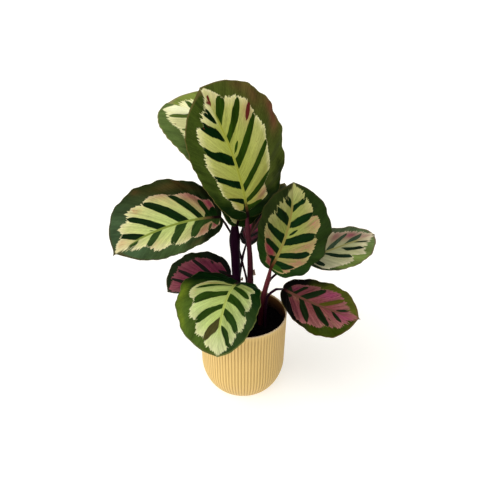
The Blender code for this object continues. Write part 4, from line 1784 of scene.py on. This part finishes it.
        ),
        finish=LeafFinish(
            "leaf_right_face", near=tone(112, 118, 55), far=tone(116, 117, 64), edge=tone(139, 137, 86),
            tip=tone(114, 120, 67), foot=tone(114, 108, 61), left=tone(28, 38, 9), right=tone(27, 42, 9),
            base=tone(22, 44, 8), rim=tone(44, 44, 18), left_bar=tone(5, 24, 3), right_bar=tone(5, 29, 4),
            blush=tone(112, 44, 50), rust=tone(136, 88, 76), bronze=tone(65, 42, 26),
            midrib=tone(122, 116, 56), midrib_foot=tone(82, 52, 26), deep=tone(52, 22, 12), grain=1.5,
            left_light=0.87, right_light=1.22,
        ),
    ),
    Leaf(
        node="leaf_far_right", base=(101, 35, 214), heading=22, rise=12, roll=13, length=127,
        widths=(43, 48), droop=5, sweep=-1, twist=1, fold=(7, 7), taper=(0.3, 0.77), shoulder=0.08,
        ruffle=(1, 1.6), waves=6, drip=1, stalk=DARK_STALK,
        route=[
            (30, 9, 118, 2.2), (32, 7, 145, 2.1), (35, 6, 166, 2), (39, 9, 185, 1.9), (52, 18, 197, 1.9),
            (76, 28, 204, 1.8),
        ],
        markings=(
            Markings(
                edge=(
                    (14, -30), (20, 50), (40, 75), (60, 80), (72, 74), (80, 80), (90, 75), (97, 70),
                    (99, -40),
                ),
                bars=(
                    Bar((3, 60, 69), (18, 61, 70), (40, 65, 72), (62, 70, 73)),
                    Bar((3, 78.5, 87.5), (10, 79, 88), (36, 80, 88.5), (57, 83.6, 87)),
                    Bar((5, 44, 50), (30, 44, 50), (62, 45, 50)),
                    Bar((0, 15, 36), (10, 27, 34), (55, 28, 32)),
                ),
                blushes=(Patch(77, 58, 9, 26, 1), Patch(62, 60, 6, 30, 0.8), Patch(91, 45, 6, 30, 0.5)),
            ),
            Markings(
                edge=(
                    (14, -30), (20, 60), (40, 80), (55, 80), (60, 70), (63, 66), (66, 83), (72, 80),
                    (77, 72), (90, 72), (97, 60), (99, -40),
                ),
                bars=(
                    Bar((3, 54.5, 60), (18, 54.3, 60.7), (36, 53, 60.7), (54, 55, 63), (62, 57.5, 62)),
                    Bar((12, 73.5, 74.5), (21, 72, 75), (39, 68.6, 75.7), (54, 71.4, 78), (62, 73, 77)),
                    Bar((0, 15, 36), (35, 22, 35), (60, 25, 33)),
                    Bar((10, 85, 87.5), (30, 84.5, 87.5), (60, 84, 87)),
                ),
            ),
        ),
        finish=LeafFinish(
            "leaf_far_right_face", near=tone(154, 156, 114), far=tone(174, 173, 126),
            edge=tone(202, 192, 158), tip=tone(176, 150, 124), foot=tone(168, 168, 130),
            left=tone(70, 80, 56), right=tone(108, 124, 60), base=tone(40, 57, 32), rim=tone(110, 96, 72),
            left_bar=tone(52, 68, 50), right_bar=tone(20, 38, 22), blush=tone(124, 70, 76),
            # this leaf's margins take the bluish painted sheen near the tip
            bronze=tone(107, 89, 66), midrib=tone(147, 145, 89), painted_sheen=tone(84, 104, 66), painted_sheen_share=0.6,
        ),
    ),
    Leaf(
        node="leaf_low_right", base=(61, -15, 191), heading=-12, rise=-27, roll=30, length=125,
        widths=(40, 48), droop=-20, sweep=7, twist=8, fold=(12, 12), taper=(0.67, 1.15), shoulder=-0.15,
        ruffle=(0.8, 1.4), waves=6, drip=2.5, slot=Slot.YOUNG_LEAF, stalk=DARK_STALK,
        route=[
            (36, -15, 118, 2.2), (35.5, -14.5, 145, 2.1), (36.5, -15, 172, 2), (42, -17, 184, 1.9),
            (51, -16.5, 191, 1.8),
        ],
        markings=(
            Markings(
                edge=(
                    (24, -30), (28, 42), (33, 54), (42, 62), (48, 69), (57, 70), (62, 79), (70, 81),
                    (76, 77), (80, 74), (87, 70), (92, 68), (97, 60), (99, -40),
                ),
                bars=(
                    Bar((0, 10, 42), (10, 10, 41), (17, 10, 36)),
                    Bar((0, 40, 50), (18, 42, 48), (50, 42, 47)),
                    Bar((3, 55.5, 64), (7, 55, 64), (35, 54.8, 63.5), (62, 56, 61.5)),
                    Bar((21, 85.5, 89), (45, 85.5, 89), (66, 86, 88)),
                ),
                blushes=(Patch(67, 62, 6, 25, 1), Patch(36, 35, 7, 20, 0.4), Patch(93, 10, 6, 50, 0.7)),
                rusts=(Patch(90, 55, 5, 20, 0.2),),
                shoots=(Bar((10, 74, 78.5), (40, 73.5, 78.5), (68, 73.8, 77.5)),),
            ),
            Markings(
                edge=(
                    (28, -30), (35, 45), (37.5, 75), (45, 85), (52, 75), (60, 78), (67, 70), (75, 80),
                    (85, 80), (92, 80), (97, 70), (99, -40),
                ),
                bars=(
                    Bar((0, 10, 43), (10, 10, 42), (17, 10, 38)),
                    Bar((2, 55, 62), (14, 53.6, 60.7), (32, 50, 59.3), (50, 48.6, 57), (64, 49.3, 53.6),
                        (72, 50, 52)),
                    Bar((3, 69, 76), (14, 68.3, 75.5), (32, 66.8, 74.2), (50, 66, 73), (64, 67.5, 72)),
                    Bar((46, 75, 75.7), (54, 75, 75.7)),
                    Bar((10, 84, 86), (21, 83, 85.4), (39, 81, 84.3), (57, 80, 83.2)),
                ),
                blushes=(Patch(88, 50, 5, 40, 0.8),),
                rusts=(Patch(49, 10, 8, 8, 0.5), Patch(76, 50, 1.2, 40, 0.4), Patch(66, 68, 2, 6, 0.5)),
            ),
        ),
        finish=LeafFinish(
            "leaf_low_right_face", near=tone(106, 55, 54), far=tone(114, 66, 65), edge=tone(128, 82, 76),
            tip=tone(104, 43, 58), foot=tone(84, 38, 44), left=tone(64, 68, 16), right=tone(44, 54, 5),
            base=tone(6, 5, 4), base_shade_reach=0.48, rim=tone(80, 66, 30), left_bar=tone(16, 30, 9),
            right_bar=tone(16, 28, 8), blush=tone(128, 56, 80), rust=tone(130, 100, 72),
            bronze=tone(61, 44, 22), midrib=tone(95, 61, 48), foot_reach=0.3, shoot=tone(66, 62, 12),
            grain=2.8, right_light=1.1,
        ),
    ),
    Leaf(
        node="leaf_inner", base=(3, 31, 244), heading=37, rise=54, roll=-15, length=117, widths=(43, 41),
        droop=17, sweep=12, twist=-3, fold=(6, 9), taper=(0.5, 0.55), shoulder=0.05, ruffle=(0.8, 0.8),
        waves=6, stalk=DARK_STALK,
        route=[
            (-7.5, 25, 118, 2.1), (-7.5, 23.5, 150, 2), (-6.5, 21, 181, 1.9), (-3.5, 27, 204, 1.8),
            (-0.2, 30.5, 225, 1.7),
        ],
        markings=2 * (
            Markings(
                edge=((20, -30), (26, 60), (37, 62), (45, 50), (65, 60), (80, 60), (90, 50), (96, -40)),
                bars=(
                    Bar((0, 15, 27), (20, 15, 26.2)),
                    Bar((3, 36, 46), (22, 36, 43), (60, 36, 40)),
                    Bar((3, 62, 74), (60, 58, 74)),
                    Bar((3, 80, 87), (60, 80, 86)),
                ),
                blushes=(Patch(32, 40, 5, 30, 0.2), Patch(49, 42, 3.5, 20, 1)),
            ),
        ),
        # painted shade: this leaf lies deep among the others, so its light zone, tip and bars are drawn near
        # black
        finish=LeafFinish(
            "leaf_inner_face_painted_shade", near=tone(44, 34, 20), far=tone(36, 22, 16), edge=tone(52, 32, 26),
            tip=tone(65, 67, 34), foot=tone(30, 16, 16), left=tone(42, 51, 19), right=tone(42, 51, 19),
            base=tone(6, 4, 4), left_bar=tone(8, 9, 5), right_bar=tone(8, 9, 5), blush=tone(176, 56, 98),
            midrib=tone(88, 53, 42),
        ),
    ),
]


def main() -> None:
    """Build every sub-assembly and report its pieces."""
    Studio().build()
    pieces = [Pot().build(), *Soil().build(), *SheathScraps().build()]
    underside = UndersideFinish().material()
    for leaf in LEAVES:
        pieces.extend(leaf.build(underside))
    for piece in pieces:
        piece.data.calc_loop_triangles()
        LOG.info("%s: %d triangles", piece.name, len(piece.data.loop_triangles))


if __name__ == "__main__":
    logging.basicConfig(level=logging.INFO)
    main()
